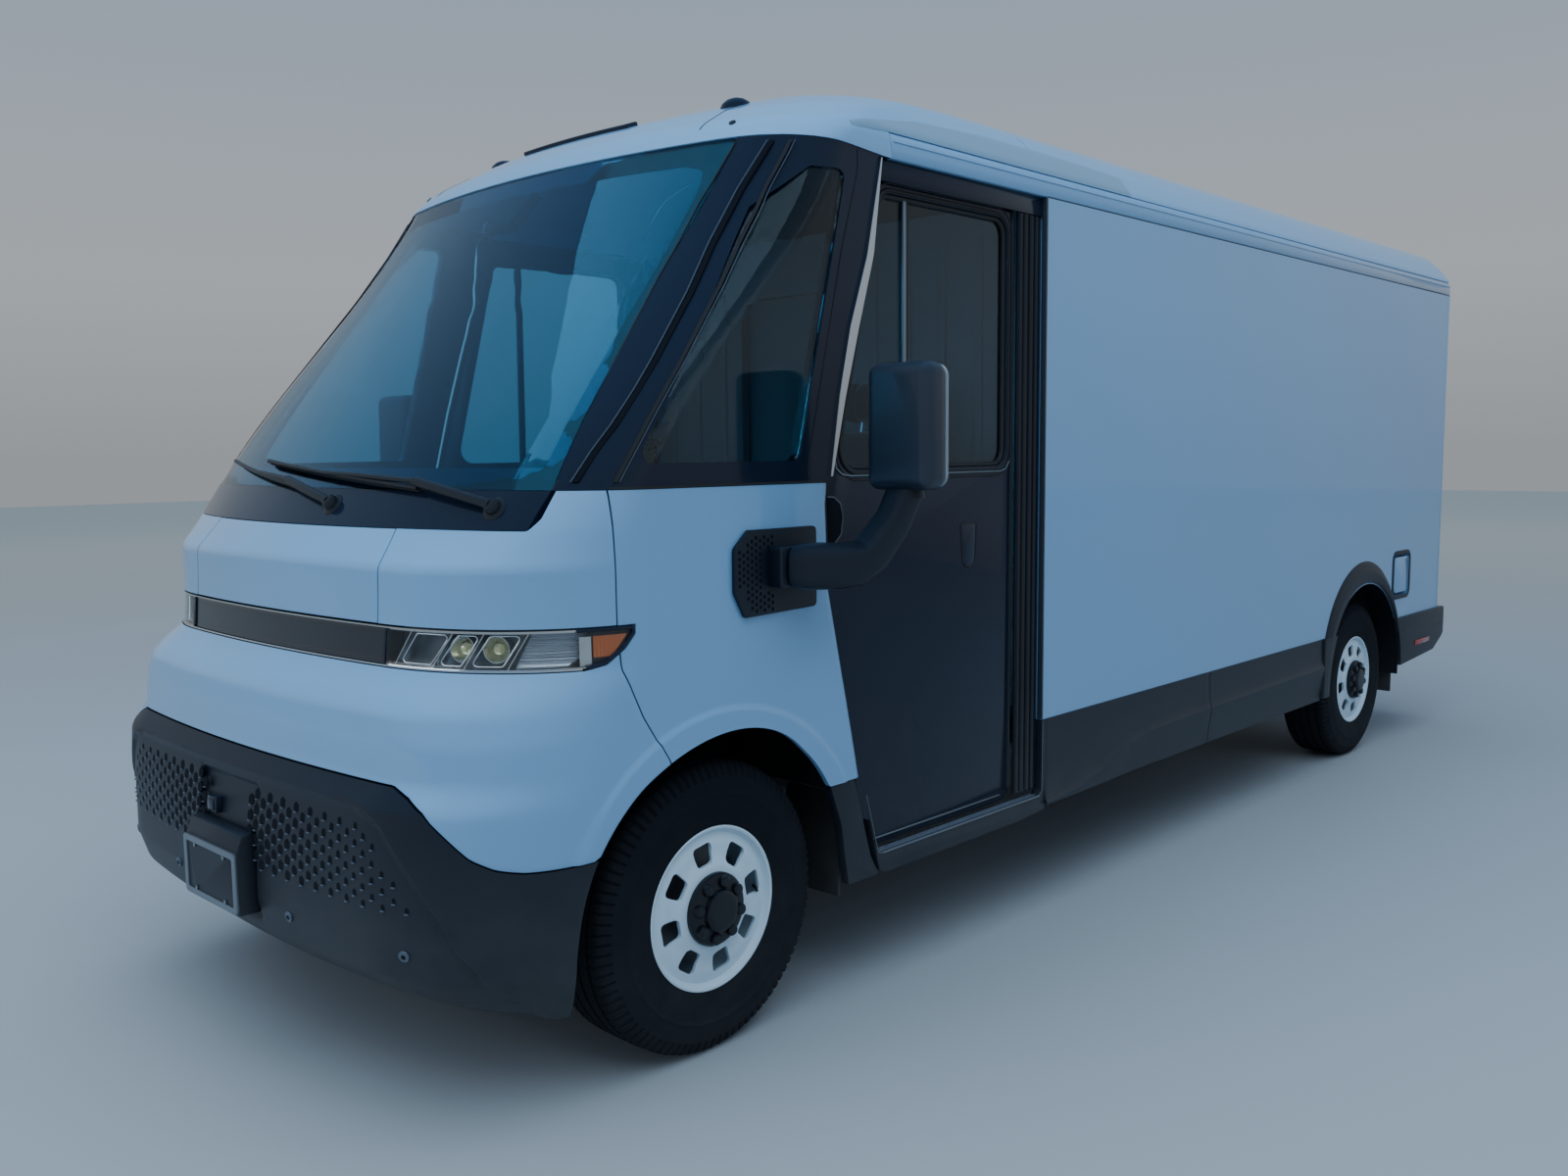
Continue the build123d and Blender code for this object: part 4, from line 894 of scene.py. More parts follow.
finish(pad, grey_plastic)
screws = [Matrix.Translation(at(x, -0.9355, z)) @ quarter_turn("X") for x in (-0.089, 0.089)
    for z in (0.5765, 0.4555)]
finish(scattered("plate_screws", prism(12, 0.0065, 0.004), screws), satin_metal)

# ---------------- roof
# A moulded front cap flows back from the windscreen into a long domed roof skin.  A painted
# rail runs along each side under it, and small black lamps and plugs stand on the cap.
ROOF_LOW = 2.549
ROOF_HIGH = 2.76
CAP_END = 1.536
BODY_END = 5.8
DOMED = 0.72                    # share of the sheet's rows used before the flat crown


def crown(point, share):
    """Draws a point of the top level curve in towards the van's middle, over a slight crown."""
    return Vector((point.x * (1 - share), point.y, point.z + 0.005 * sin(share * pi / 2)))


cap_side = by_height(y_edge(CAP_END))


def cap_place(a, b):
    z = ROOF_LOW + min(1.0, b / DOMED) * (ROOF_HIGH - ROOF_LOW)
    point = skin((2 * a - 1) * cap_side(z), z)
    return crown(point, max(0.0, b - DOMED) / (1 - DOMED))


roof_cap = grid("roof_cap_skin", 150, 50, cap_place)
change(roof_cap, "SOLIDIFY", thickness=0.004, offset=-1.0)
smooth(roof_cap)
finish(roof_cap, white_paint, "roof_cap")


def brow_foot(u):
    """The cap's lower edge, falling a little from the windscreen to the doorway."""
    return line([(0.3, 2.4985), (0.52, 2.487), (0.7, 2.474)], skin(u, 2.5).y - AXLE_Y)


finish(skin_panel("roof_brow", 150, 8, y_edge(0.7, -1), y_edge(0.7), brow_foot, ROOF_LOW, thickness=0.006,
    relief=lambda point, u, z: 0.003 * ramp(2.549 - z, 0.0, 0.02)), white_paint)


def roof_place(a, b):
    y = CAP_END + 0.003 + b * (BODY_END - CAP_END - 0.003)
    way = abs(2 * a - 1)
    z = ROOF_LOW + min(1.0, (1 - way) / DOMED) * (ROOF_HIGH - ROOF_LOW)
    half = level(z)[3]
    flat = max(0.0, (1 - way) - DOMED) / (1 - DOMED)
    x = half * (1 - flat)
    return Vector((copysign(x, 2 * a - 1), AXLE_Y + y, z + 0.005 * sin(flat * pi / 2)))


roof_skin = grid("roof_skin", 90, 24, roof_place)
change(roof_skin, "SOLIDIFY", thickness=0.004, offset=-1.0)
smooth(roof_skin)
finish(roof_skin, white_paint, "roof_panel")

rail_shape = [(0.982, 2.4735), (1.036, 2.4735), (1.0395, 2.479), (1.0395, 2.522), (1.034, 2.541),
    (1.029, 2.5475), (0.982, 2.5475)]
pair(slab("roof_rail_left", rail_shape, 1, 0.702, BODY_END - 0.704, edge=0.002), white_paint, "roof_rails")
end_section = [(level(z)[3] - 0.001, z) for z in (2.552, 2.58, 2.61, 2.64, 2.67, 2.7, 2.73, 2.757)]
end_panel = slab("roof_end", [(-x, z) for x, z in end_section] + [(0.0, 2.762)] + [(x, z)
    for x, z in end_section[::-1]] + [(1.0, 2.473), (-1.0, 2.473)], 1, BODY_END - 0.012, 0.0105)
soften(end_panel, 0.003, 2, 50)
finish(end_panel, white_paint)

# ---------------- headlamps
# Each lamp is a clear moulded lens over a bright reflector tray, divided by four leaning walls,
# with a ribbed outer section and an amber marker in a black surround at its outer tip.
def lamp_plastic(name, colour, rough, metal=0.0, slot=""):
    """Moulded lamp parts: bright, clear-coated and slightly uneven."""
    return coating(name, colour, rough, metal=metal, coat=0.5, peel=(180, 0.06, 0.0006), tones=(14.0, 0.25),
        dirt=CLEAN, slot=slot)


lens_clear = glazing("lamp_lens", (0.93, 0.96, 0.97), ior=1.35, streaks=0.01, slot="lamp_clear")
reflector = lamp_plastic("lamp_reflector", (0.62, 0.65, 0.68), 0.14, metal=1.0)
lamp_grey = lamp_plastic("lamp_tray", (0.1, 0.115, 0.135), 0.3, metal=0.6)
warm_bulb = lamp_plastic("lamp_bulb_housing", (0.8, 0.74, 0.4), 0.16, metal=0.7)
amber = lamp_plastic("amber_marker", (0.62, 0.13, 0.012), 0.22)
LAMP_ENDS = [(1.113, -0.43), (1.124, -0.379), (1.16, -0.33), (1.192, -0.302), (1.212, -0.3)]


def lamp_end(z, back=0.0):
    """The lamp's outer end, drawn back towards the middle."""
    return u_at(1, line(LAMP_ENDS, z) - back, z)


def u_of(x, z):
    return u_at(0, x, z)


pair(skin_panel("lamp_lens_left", 70, 10, x_edge(0.567), lamp_end, 1.114, 1.211, relief=-0.003), lens_clear,
    "headlamps")
tray = skin_panel("lamp_tray_left", 70, 8, x_edge(0.566), lambda z: lamp_end(z, 0.004), 1.112, 1.213,
    relief=-0.056)
pair(tray, lamp_grey)

CELLS = [((0.597, 1.12), (0.652, 1.206)), ((0.718, 1.12), (0.772, 1.206)), ((0.801, 1.12), (0.846, 1.206)),
    ((0.894, 1.12), (0.93, 1.206))]
walls = []
for (low_x, low_z), (high_x, high_z) in CELLS:
    low, high = (u_of(low_x, low_z), low_z), (u_of(high_x, high_z), high_z)
    walls.append(skin_fin("wall", low, high, 0.01, 0.056, 0.0028))
for z in (1.119, 1.2055):
    walls.append(skin_fin("shelf", (u_of(0.575, z), z), (lamp_end(1.16, 0.075), z), 0.008, 0.056, 0.003, 40))
pair(join("lamp_walls_left", *walls), reflector)
cell_rims = []
for number, ((low_x, low_z), (high_x, high_z)) in enumerate(CELLS[:-1]):
    low_next, high_next = CELLS[number + 1]
    corners = [(low_x + 0.012, 1.126), (low_next[0] - 0.01, 1.126), (high_next[0] - 0.012, 1.199),
        (high_x + 0.01, 1.199)]
    path = [skin(u_of(x, z), z) - outward(u_of(x, z), z) * 0.018 for x, z in rounded(corners, 0.008, 3)]
    cell_rims.append(tube("rim", [(p.x, p.y - AXLE_Y, p.z) for p in path], 0.0022, closed=True))
pair(join("lamp_cell_rims_left", *cell_rims), reflector)


def facing(name, x, z, depth, profile):
    """A small turned part looking straight out of the lamp."""
    u = u_of(x, z)
    out = outward(u, z)
    part = turned(name, profile, 32, (0, -AXLE_Y, 0), axis="Z")
    part.data.transform(facing_out(skin(u, z) - out * depth, out))
    return part


bowls, bulbs = [], []
for x in (0.79, 0.868):
    bowls.append(facing("bowl", x, 1.166, 0.052, [(0.0, 0.0), (0.002, 0.012), (0.012, 0.024), (0.03, 0.031),
        (0.03, 0.033), (0.0, 0.033)]))
    bulbs.append(facing("bulb", x, 1.166, 0.048, [(0.0, 0.0), (0.0, 0.015), (0.012, 0.014), (0.02, 0.008),
        (0.022, 0.0)]))
pair(join("lamp_bowls_left", *bowls), reflector)
pair(join("lamp_bulbs_left", *bulbs), warm_bulb)

ribbed = skin_panel("lamp_ribs_left", 30, 60, lambda z: u_of(0.905 + 0.35 * (z - 1.12), z),
    lambda z: u_at(1, -0.47 + 0.1 * sin((z - 1.12) / 0.09 * pi / 2), z), 1.122, 1.204, relief=lambda point, u,
    z: -0.03 + 0.0018 * cos(z * 2 * pi / 0.0075))
pair(ribbed, lamp_plastic("lamp_ribs", (0.42, 0.46, 0.52), 0.22, metal=0.35))
pair(skin_panel("lamp_spacer_left", 12, 8, y_edge(-0.44), y_edge(-0.412), 1.122, 1.192, relief=-0.012),
    reflector)
pair(skin_panel("amber_marker_left", 24, 16, y_edge(-0.409), y_edge([(1.142, -0.361), (1.195, -0.318)]),
    1.141, 1.193, thickness=0.006, edge=0.0015, relief=lambda point, u, z: -0.007 + 0.0008
    * cos(point.y * 2 * pi / 0.009)), amber)
pair(skin_panel("marker_surround_left", 30, 12, y_edge(-0.425), lambda z: lamp_end(z, -0.001), 1.113, 1.213,
    thickness=0.004, relief=-0.016), gloss_black)
tip_rim = [skin(u_at(1, y, z), z) for y, z in [(-0.447, 1.2085), (-0.36, 1.2085), (-0.306, 1.207),
    (-0.304, 1.194), (-0.333, 1.162), (-0.381, 1.126), (-0.425, 1.117)]]
pair(tube("marker_rim_left", [(p.x - 0.002, p.y - AXLE_Y, p.z) for p in tip_rim], 0.0055), gloss_black)

# ---------------- light bar and its bright lines
# A smoked panel joins the lamps across the nose.  Thin bright strips run over and under bar and
# lamps, and a black channel behind everything makes the shadow line under the hood.
smoked = coating("light_bar", (0.012, 0.016, 0.025), 0.22, metal=0.2, coat=0.5, peel=(90, 0.05, 0.0008),
    tones=(3.0, 0.5), dirt=CLEAN, slot="dark_glass")
bar = skin_panel("light_bar_panel", 90, 10, x_edge(0.56, -1), x_edge(0.56), 1.119, 1.206, thickness=0.01,
    edge=0.002, relief=-0.007)
finish(bar, smoked, "light_bar")
for name, z0, z1, out_by in (("upper", 1.2068, 1.2108, 0.001), ("lower", 1.1135, 1.117, 0.002)):
    strip = skin_panel(f"lamp_{name}_strip", 200, 2, y_edge(-0.437, -1), y_edge(-0.437), z0, z1,
        thickness=0.01, relief=-out_by)
    finish(strip, chrome)
channel = skin_panel("lamp_channel", 160, 6, y_edge(-0.285, -1), y_edge(-0.285), 1.085, 1.24, relief=-0.066)
finish(channel, matt_black)
for side, z in (("over", 1.2165), ("under", 1.1075)):
    finish(skin_fin(f"channel_{side}", (-u_at(1, -0.32, z), z), (u_at(1, -0.32, z), z), 0.004, 0.066, 0.002,
        120), matt_black)
ends = [skin_fin("bar_end", (k * u_of(0.5635, 1.115), 1.115), (k * u_of(0.5635, 1.21), 1.21), 0.003, 0.056,
    0.005) for k in (-1, 1)]
finish(join("bar_ends", *ends), gloss_black)

# ---------------- windscreen, pillars and cab side glass
# Laminated windscreen with a black fired-on border, bonded flush between black pillars.  A thin
# seam and a stepped moulding run down each pillar, its lit edge a lighter strip of painted highlight
# beside a matt black strip of painted shade for its groove, and a bright blade ends the pillar at the door.
CLEAR_SIDE = [(1.6, 0.866), (1.614, 0.865), (2.077, 0.821), (2.37, 0.795), (2.405, 0.78), (2.425, 0.75),
    (2.431, 0.7)]
GLASS_SIDE = [(1.542, 0.915), (1.591, 0.916), (1.847, 0.881), (2.098, 0.844), (2.312, 0.826), (2.497, 0.838)]


def glass_u(z):
    return u_at(0, line(GLASS_SIDE, z), z)


border_black = coating("glass_border", (0.003, 0.0045, 0.009), 0.25, coat=0.5, peel=(200, 0.02, 0.0003),
    dirt=CLEAN, specular=0.3)
pair(skin_panel("windscreen_border_left", 8, 60, x_edge(CLEAR_SIDE), glass_u, 1.6, 2.431, thickness=0.0006,
    relief=-0.0086), border_black)
for name, low, high in (("lower", 1.543, 1.6), ("upper", 2.431, 2.496)):
    finish(skin_panel(f"windscreen_border_{name}", 100, 6, lambda z: -glass_u(z), glass_u, low, high,
        thickness=0.0006, relief=-0.0086), border_black)
finish(skin_panel("windscreen_sensor_tab", 12, 10, lambda z: -u_at(0, 0.1 - 0.3 * (2.44 - z), z),
    lambda z: u_at(0, 0.1 - 0.3 * (2.44 - z), z), 2.33, 2.44, thickness=0.03, edge=0.004, relief=-0.0086),
    matt_black)

STEP_LINE = [(1.544, -0.428), (1.637, -0.355), (1.782, -0.232), (2.038, -0.026), (2.342, 0.204),
    (2.481, 0.307)]
QUARTER_FRONT = [(1.547, -0.336), (1.708, -0.224), (1.882, -0.087), (2.064, 0.057), (2.27, 0.211),
    (2.428, 0.321), (2.479, 0.355)]
QUARTER_REAR = [(1.6, 0.33), (2.2, 0.48), (2.42, 0.55)]
BLADE_FRONT = [(1.56, 0.418), (1.576, 0.421), (1.788, 0.458), (1.983, 0.507), (2.188, 0.582), (2.467, 0.648)]
BLADE_REAR = [(1.56, 0.427), (1.788, 0.486), (1.984, 0.545), (2.19, 0.611), (2.467, 0.6535)]
# A lighter blue-black for thin lit edges, a painted highlight: the pillar step, the quarter glass's front
# edge, the door pulls' rims, the sill's front edge and the white panel's edge.
pillar_step_highlight = coating("pillar_step_highlight", (0.03, 0.042, 0.06), 0.22, coat=0.8, peel=(400, 0.03, 0.0004))
# The pillar's groove is a matt black strip of painted shade.
for name, edge_line, width, stand, coat in (("pillar_step_highlight", STEP_LINE, 0.004, 0.0064, pillar_step_highlight),
        ("pillar_gap_shade", [(z, y + 0.005) for z, y in STEP_LINE], 0.013, 0.0056, matt_black),
        ("quarter_front_seal", [(z, y - 0.012) for z, y in QUARTER_FRONT], 0.01, 0.0058, rubber),
        ("quarter_front_edge", QUARTER_FRONT, 0.003, 0.0062, pillar_step_highlight), ("quarter_rear_seam", QUARTER_REAR,
        0.005, 0.0015, rubber)):
    strip = skin_strip(f"{name}_left", y_edge(edge_line), 1.56, 2.478, width, stand=stand, thickness=0.003)
    pair(strip, coat)
pair(skin_strip("windscreen_seam_left", lambda z: glass_u(z) + 0.001, 1.545, 2.495, 0.004, stand=0.0012,
    thickness=0.0025), rubber)
blade = skin_panel("bright_blade_left", 6, 60, y_edge(BLADE_FRONT), y_edge(BLADE_REAR), 1.56, 2.468,
    thickness=0.014, relief=0.009)
soften(blade, 0.0015)
pair(blade, chrome)
pair(skin_panel("belt_seal_left", 60, 2, y_edge(-0.35), y_edge(0.414), 1.5435, 1.5495, relief=0.0015), rubber)

# ---------------- wipers
# Two black steel arms on round pivots in the panel under the glass, both lying towards the
# van's right, each with a hinged elbow and a spring-held rubber blade.
def on_glass(x, z, lift):
    """A point in front of the windscreen."""
    u = copysign(u_at(0, abs(x), z), x)
    point = skin(u, z) + outward(u, z) * lift
    return (point.x, point.y - AXLE_Y, point.z)


arm_black = coating("wiper_black", (0.006, 0.008, 0.012), 0.42, peel=(700, 0.15, 0.0004))
for side, pivot, near, far in (("left", 0.792, 0.27, 1.15), ("right", 0.185, 0.22, 0.9)):
    out = outward(u_at(0, pivot, 1.5), 1.5)
    pivot_cap = turned(f"wiper_pivot_{side}", [(-0.01, 0.0), (-0.01, 0.034), (-0.001, 0.033), (0.004, 0.022),
        (0.016, 0.021), (0.024, 0.015), (0.026, 0.0)], 28, (0, -AXLE_Y, 0), axis="Z")
    pivot_cap.data.transform(facing_out(at(*on_glass(pivot, 1.5, 0.002)), out))
    middle = (near + far) / 2
    root = tube(f"wiper_root_{side}", [on_glass(pivot - reach, 1.5 + 0.049 * reach / 0.286, lift)
        for reach, lift in ((0.0, 0.018), (0.06, 0.022), (0.14, 0.025), (0.22, 0.026), (0.286, 0.025))],
        0.013)
    arm = tube(f"wiper_arm_{side}", [on_glass(pivot - reach, 1.549 + 0.0225 * (reach - 0.286)
        / (middle - 0.286), lift) for reach, lift in ((0.27, 0.026), ((middle + 0.286) / 2, 0.027),
        (middle, 0.02))], 0.007)
    shares = [near + (far - near) * k / 8 for k in range(9)]
    spine, lip = [tube(f"wiper_{part}_{side}", [on_glass(pivot - reach, 1.537 + 0.069 * k / 8, lift)
        for k, reach in enumerate(shares)], radius) for part, lift, radius in (("spine", 0.0185, 0.0065),
        ("lip", 0.0075, 0.0055))]
    finish(join(f"wiper_{side}", pivot_cap, root, arm, spine), arm_black, *(("wipers",) if side == "left"
        else ()))
    finish(lip, rubber)


# ---------------- wheels
# Commercial radial tyres with four tread grooves, fine shoulder blocks and plain ringed
# sidewalls, on white pressed-steel wheels with eight windows and a black lobed middle cap.
WHEEL_X = 0.8725
TYRE_R = 0.402
tyre_rubber = coating("tyre_rubber", (0.0035, 0.0052, 0.009), 0.8, peel=(420, 0.35, 0.0008),
    tones=(5.0, 0.35), dirt=(0.9, 0.08), spread=0.1, specular=0.16, slot="tyre_rubber")
# The wheels' pale blue is the cool light's tint painted into their white.
wheel_white = coating("white_wheel", (0.5, 0.67, 0.8), 0.32, coat=0.5, peel=(240, 0.08, 0.0005),
    tones=(9.0, 0.12), dirt=(1.0, 0.18), slot="white_wheel")
cap_black = coating("wheel_cap", (0.0028, 0.0042, 0.008), 0.36, coat=0.2, peel=(500, 0.2, 0.0005),
    dirt=(0.9, 0.03), specular=0.3)

half_profile = [(0.1005, 0.2175), (0.109, 0.222), (0.111, 0.23), (0.115, 0.245), (0.1195, 0.27),
    (0.1218, 0.295), (0.1225, 0.309), (0.1238, 0.312), (0.1225, 0.315), (0.1222, 0.326), (0.1205, 0.342),
    (0.118, 0.354), (0.1182, 0.36), (0.115, 0.368), (0.1105, 0.379), (0.105, 0.389), (0.0985, 0.3955),
    (0.09, 0.3995), (0.071, 0.4008), (0.069, 0.391), (0.06, 0.391), (0.058, 0.4015), (0.029, 0.402),
    (0.027, 0.391), (0.018, 0.391), (0.016, 0.402)]
tyre_profile = half_profile + [(-x, r) for x, r in reversed(half_profile)]
TYRE_STEPS = 360
tyre = turned("tyre_front_left_rubber", tyre_profile, TYRE_STEPS, (WHEEL_X, 0, TYRE_R), closed=True)
for vertex in tyre.data.vertices:
    y, z = vertex.co.y - AXLE_Y, vertex.co.z - TYRE_R
    radius, across = hypot(y, z), abs(vertex.co.x - WHEEL_X)
    step = round(atan2(z, y) / (2 * pi) * TYRE_STEPS) % 4
    if step:
        continue
    if radius > 0.364 and across > 0.089:
        scale = (radius - 0.0045) / radius
        vertex.co.y, vertex.co.z = AXLE_Y + y * scale, TYRE_R + z * scale
        vertex.co.x -= copysign(0.004, vertex.co.x - WHEEL_X)
    if radius > 0.389 and 0.055 < across <= 0.0905:
        scale = (radius - 0.003) / radius
        vertex.co.y, vertex.co.z = AXLE_Y + y * scale, TYRE_R + z * scale
smooth(tyre, 28)

rim_profile = [(0.1125, 0.2265), (0.114, 0.2225), (0.112, 0.217), (0.104, 0.213), (0.0985, 0.206),
    (0.1, 0.195), (0.1035, 0.184), (0.105, 0.17), (0.104, 0.156), (0.106, 0.138), (0.111, 0.126),
    (0.114, 0.114), (0.114, 0.096), (0.108, 0.088), (0.098, 0.088), (0.1, 0.114), (0.098, 0.128),
    (0.093, 0.156), (0.092, 0.184), (0.084, 0.202), (0.02, 0.203), (-0.105, 0.205), (-0.112, 0.206),
    (-0.1125, 0.2265), (-0.104, 0.215), (-0.09, 0.21), (0.09, 0.21), (0.104, 0.216)]
wheel = turned("wheel_front_left_disc", rim_profile, 96, (WHEEL_X, 0, TYRE_R), closed=True)
for number in range(8):
    angle = radians(number * 45 + 11)
    across, along = Vector((cos(angle), sin(angle))), Vector((-sin(angle), cos(angle)))
    corners = [across * r + along * w for r, w in ((0.124, -0.026), (0.124, 0.026), (0.183, 0.036),
        (0.183, -0.036))]
    shape = [(p.x, p.y + TYRE_R) for p in (Vector(c) for c in rounded([tuple(c) for c in corners], 0.013, 4))]
    wheel = cut_away(wheel, slab("window", shape, 0, WHEEL_X + 0.078, 0.06))
soften(wheel, 0.0022, 2, 50, 40)
cap = turned("wheel_front_left_cap", [(0.106, 0.0), (0.106, 0.101), (0.124, 0.1005), (0.13, 0.096),
    (0.133, 0.088), (0.1345, 0.07), (0.137, 0.06), (0.148, 0.056), (0.1525, 0.05), (0.154, 0.04),
    (0.153, 0.0)], 64, (WHEEL_X, 0, TYRE_R))
LUG = [(0.128, 0.0), (0.128, 0.0175), (0.142, 0.0165), (0.147, 0.012), (0.148, 0.0)]
LUG_CIRCLE = 0.0775
lugs = []
for number in range(8):
    angle = radians(number * 45 + 33)
    lugs.append(turned("lug", LUG, 14, (WHEEL_X, LUG_CIRCLE * cos(angle), TYRE_R + LUG_CIRCLE * sin(angle))))
cap = join("wheel_front_left_cap", cap, *lugs)
valve = tube("wheel_front_left_valve", [(WHEEL_X + 0.08, 0.183, TYRE_R + 0.01), (WHEEL_X + 0.1, 0.176,
    TYRE_R + 0.008), (WHEEL_X + 0.112, 0.166, TYRE_R + 0.007)], 0.0045)
drum = turned("wheel_front_left_drum", [(0.0, 0.0), (0.0, 0.168), (0.03, 0.168), (0.034, 0.16), (0.036, 0.09),
    (0.09, 0.08), (0.096, 0.0)], 48, (WHEEL_X, 0, TYRE_R))


def moved_copy(piece, name, shift):
    """A copy of a piece moved along the van."""
    twin = linked(name, piece.data.copy())
    twin.data.transform(Matrix.Translation((0, shift, 0)))
    return twin


cast_iron = coating("brake_iron", (0.16, 0.17, 0.18), 0.48, metal=0.8, peel=(300, 0.2, 0.0006),
    tones=(8.0, 0.4))
for piece, coat, node in ((tyre, tyre_rubber, "tyre_front_left"), (wheel, wheel_white, "rim_front_left"),
        (cap, cap_black, ""), (valve, cap_black, ""), (drum, cast_iron, "")):
    rear = moved_copy(piece, piece.name.replace("front", "rear"), REAR_AXLE - AXLE_Y)
    pair(piece, coat, *[node] if node else [], body="wheel_front_left")
    pair(rear, coat, *[node.replace("front", "rear")] if node else [], body="wheel_rear_left")


# ---------------- sliding cab doors
# Gloss black leaves 40 mm thick that slide back inside the body wall.  Each has one large rounded
# window in a double rubber seal with a bright sill line, a thin vertical bar, and two pulls.
DOOR = "sliding_door_left"
DOOR_WINDOW = [(0.5, 1.575), (1.362, 1.575), (1.362, 2.385), (0.702, 2.385)]
WINDOW_CORNERS = [0.07, 0.06, 0.06, 0.05]


def grown(points, by):
    """An outline moved outward by a distance, its corners kept sharp."""
    middle_y = sum(p[0] for p in points) / len(points)
    middle_z = sum(p[1] for p in points) / len(points)
    made = []
    for k, corner in enumerate(points):
        lines = []
        for a, b in ((points[k - 1], corner), (corner, points[(k + 1) % len(points)])):
            way = Vector((b[0] - a[0], b[1] - a[1])).normalized()
            normal = Vector((way.y, -way.x))
            if normal.dot(Vector((middle_y, middle_z)) - Vector(a)) > 0:
                normal.negate()
            lines.append((Vector(a) + normal * by, way))
        (p, d), (q, e) = lines
        cross = d.x * e.y - d.y * e.x
        share = ((q.x - p.x) * e.y - (q.y - p.y) * e.x) / cross
        made.append((p.x + d.x * share, p.y + d.y * share))
    return made


def outline_tube(name, points, corners, x, radius, closed=True):
    """A round bead following a rounded outline at one x."""
    path = rounded(points, corners, 8) if closed else points
    return tube(name, [(x, y, z) for y, z in path], radius, closed=closed)


door_shape = [(line(DOOR_LINE, z) + 0.008, z) for z in (2.465, 2.19, 1.984, 1.788, 1.576, 1.48, 1.241, 0.428)]
door_shape += [(1.395, 0.428), (1.395, 2.465)]
leaf = slab("door_leaf_left", rounded(door_shape, [0.0] * 7 + [0.006, 0.045, 0.004]), 0, 0.96, 0.04)
leaf = cut_away(leaf, slab("door_window", rounded(DOOR_WINDOW, WINDOW_CORNERS, 8), 0, 0.95, 0.06))
soften(leaf, 0.003)
runner = block("door_runner", (0.982, 0.9995), (0.764, 1.393), (2.46, 2.4725), 0.001)
pair(join("door_leaf_left", leaf, runner), gloss_black, "side_door_left", body=DOOR)
pair(slab("door_pane_left", rounded(grown(DOOR_WINDOW, -0.0005), WINDOW_CORNERS, 8), 0, 0.977, 0.006),
    tinted_glass, "door_glass_left", body=DOOR)
seals = [outline_tube("seal", grown(DOOR_WINDOW, by), [c + by for c in WINDOW_CORNERS], x, radius)
    for by, x, radius in ((-0.006, 0.986, 0.009), (0.01, 1.0, 0.0055), (0.03, 0.9995, 0.0035))]
pair(join("door_seals_left", *seals), rubber, body=DOOR)
pair(outline_tube("door_sill_bead_left", [(0.49, 1.64), (0.486, 1.61), (0.494, 1.58), (0.52, 1.563),
    (0.56, 1.558), (1.327, 1.558), (1.359, 1.566), (1.377, 1.59)], 0, 1.0025, 0.0026, closed=False),
    satin_metal, body=DOOR)
bar = block("door_window_bar_left", (0.984, 0.993), (0.817, 0.832), (1.578, 2.382), 0.002)
pair(bar, satin_metal, body=DOOR)
pair(block("door_window_bar_edge_left", (0.9838, 0.99), (0.832, 0.845), (1.578, 2.382), 0.001), rubber,
    body=DOOR)
pull_shape = [(0.45, 1.5), (0.48, 1.498), (0.508, 1.478), (0.518, 1.44), (0.51, 1.39), (0.482, 1.365),
    (0.456, 1.362)]
pull = slab("door_pull_left", [(y + 0.004, z) for y, z in pull_shape], 0, 0.999, 0.0035, edge=0.0015)
pair(pull, matt_black, body=DOOR)
# The pull's lighter upper rim is a painted highlight.
pair(outline_tube("door_pull_rim_left", [(y + 0.004, z) for y, z in pull_shape[:6]], 0, 1.0015, 0.0028,
    closed=False), pillar_step_highlight, body=DOOR)
grip_shape = rounded([(1.105, 1.392), (1.195, 1.392), (1.187, 1.25), (1.12, 1.25)],
    [0.008, 0.008, 0.033, 0.033], 6)
pair(slab("door_grip_left", grip_shape, 0, 0.9992, 0.0022, edge=0.0008), gloss_black, body=DOOR)
pair(tube("door_grip_groove_left", [(1.0008, y, z) for y, z in grip_shape], 0.0022, closed=True), rubber,
    body=DOOR)
# The satin metal strip along the door's foot stands for the highlight on the door's bottom seal.
pair(block("door_foot_strip_left", (0.9985, 1.0025), (0.64, 1.34), (0.4465, 0.452), 0.001), satin_metal,
    body=DOOR)
pair(tube("door_rear_seal_left", [(0.999, 1.391, 0.47), (0.999, 1.391, 2.458)], 0.006), rubber, body=DOOR)
pair(slab("door_lining_left", rounded([(0.62, 0.5), (1.37, 0.5), (1.37, 1.545), (0.47, 1.545)], 0.03), 0,
    0.9545, 0.0052, edge=0.002), coating("door_lining", (0.02, 0.024, 0.03), 0.6, peel=(700, 0.35, 0.0006)),
    body=DOOR)

# ---------------- door pockets and ribbed seals
# Behind each door the body wall starts with a black extrusion that carries four upright wiper
# seals, with a gloss black header over the door and a lighter edge strip of painted highlight along
# the white panel.
pair(block("door_pocket_left", (1.0085, 1.018), (1.4, 1.5395), (0.44, 2.4725), 0.002), gloss_black,
    "door_pockets")
ribs = [tube("rib", [(1.018, y, 0.446), (1.018, y, 2.406)], radius) for y, radius in ((1.411, 0.0075),
    (1.44, 0.0095), (1.474, 0.0095), (1.506, 0.0075))]
pair(join("door_pocket_ribs_left", *ribs), rubber)
pair(block("door_header_left", (1.0183, 1.0235), (0.66, 1.5382), (2.41, 2.4722), 0.0015), gloss_black)
pair(block("panel_edge_left", (1.02, 1.0415), (1.5385, 1.5465), (0.686, 2.4725), 0.002), pillar_step_highlight)

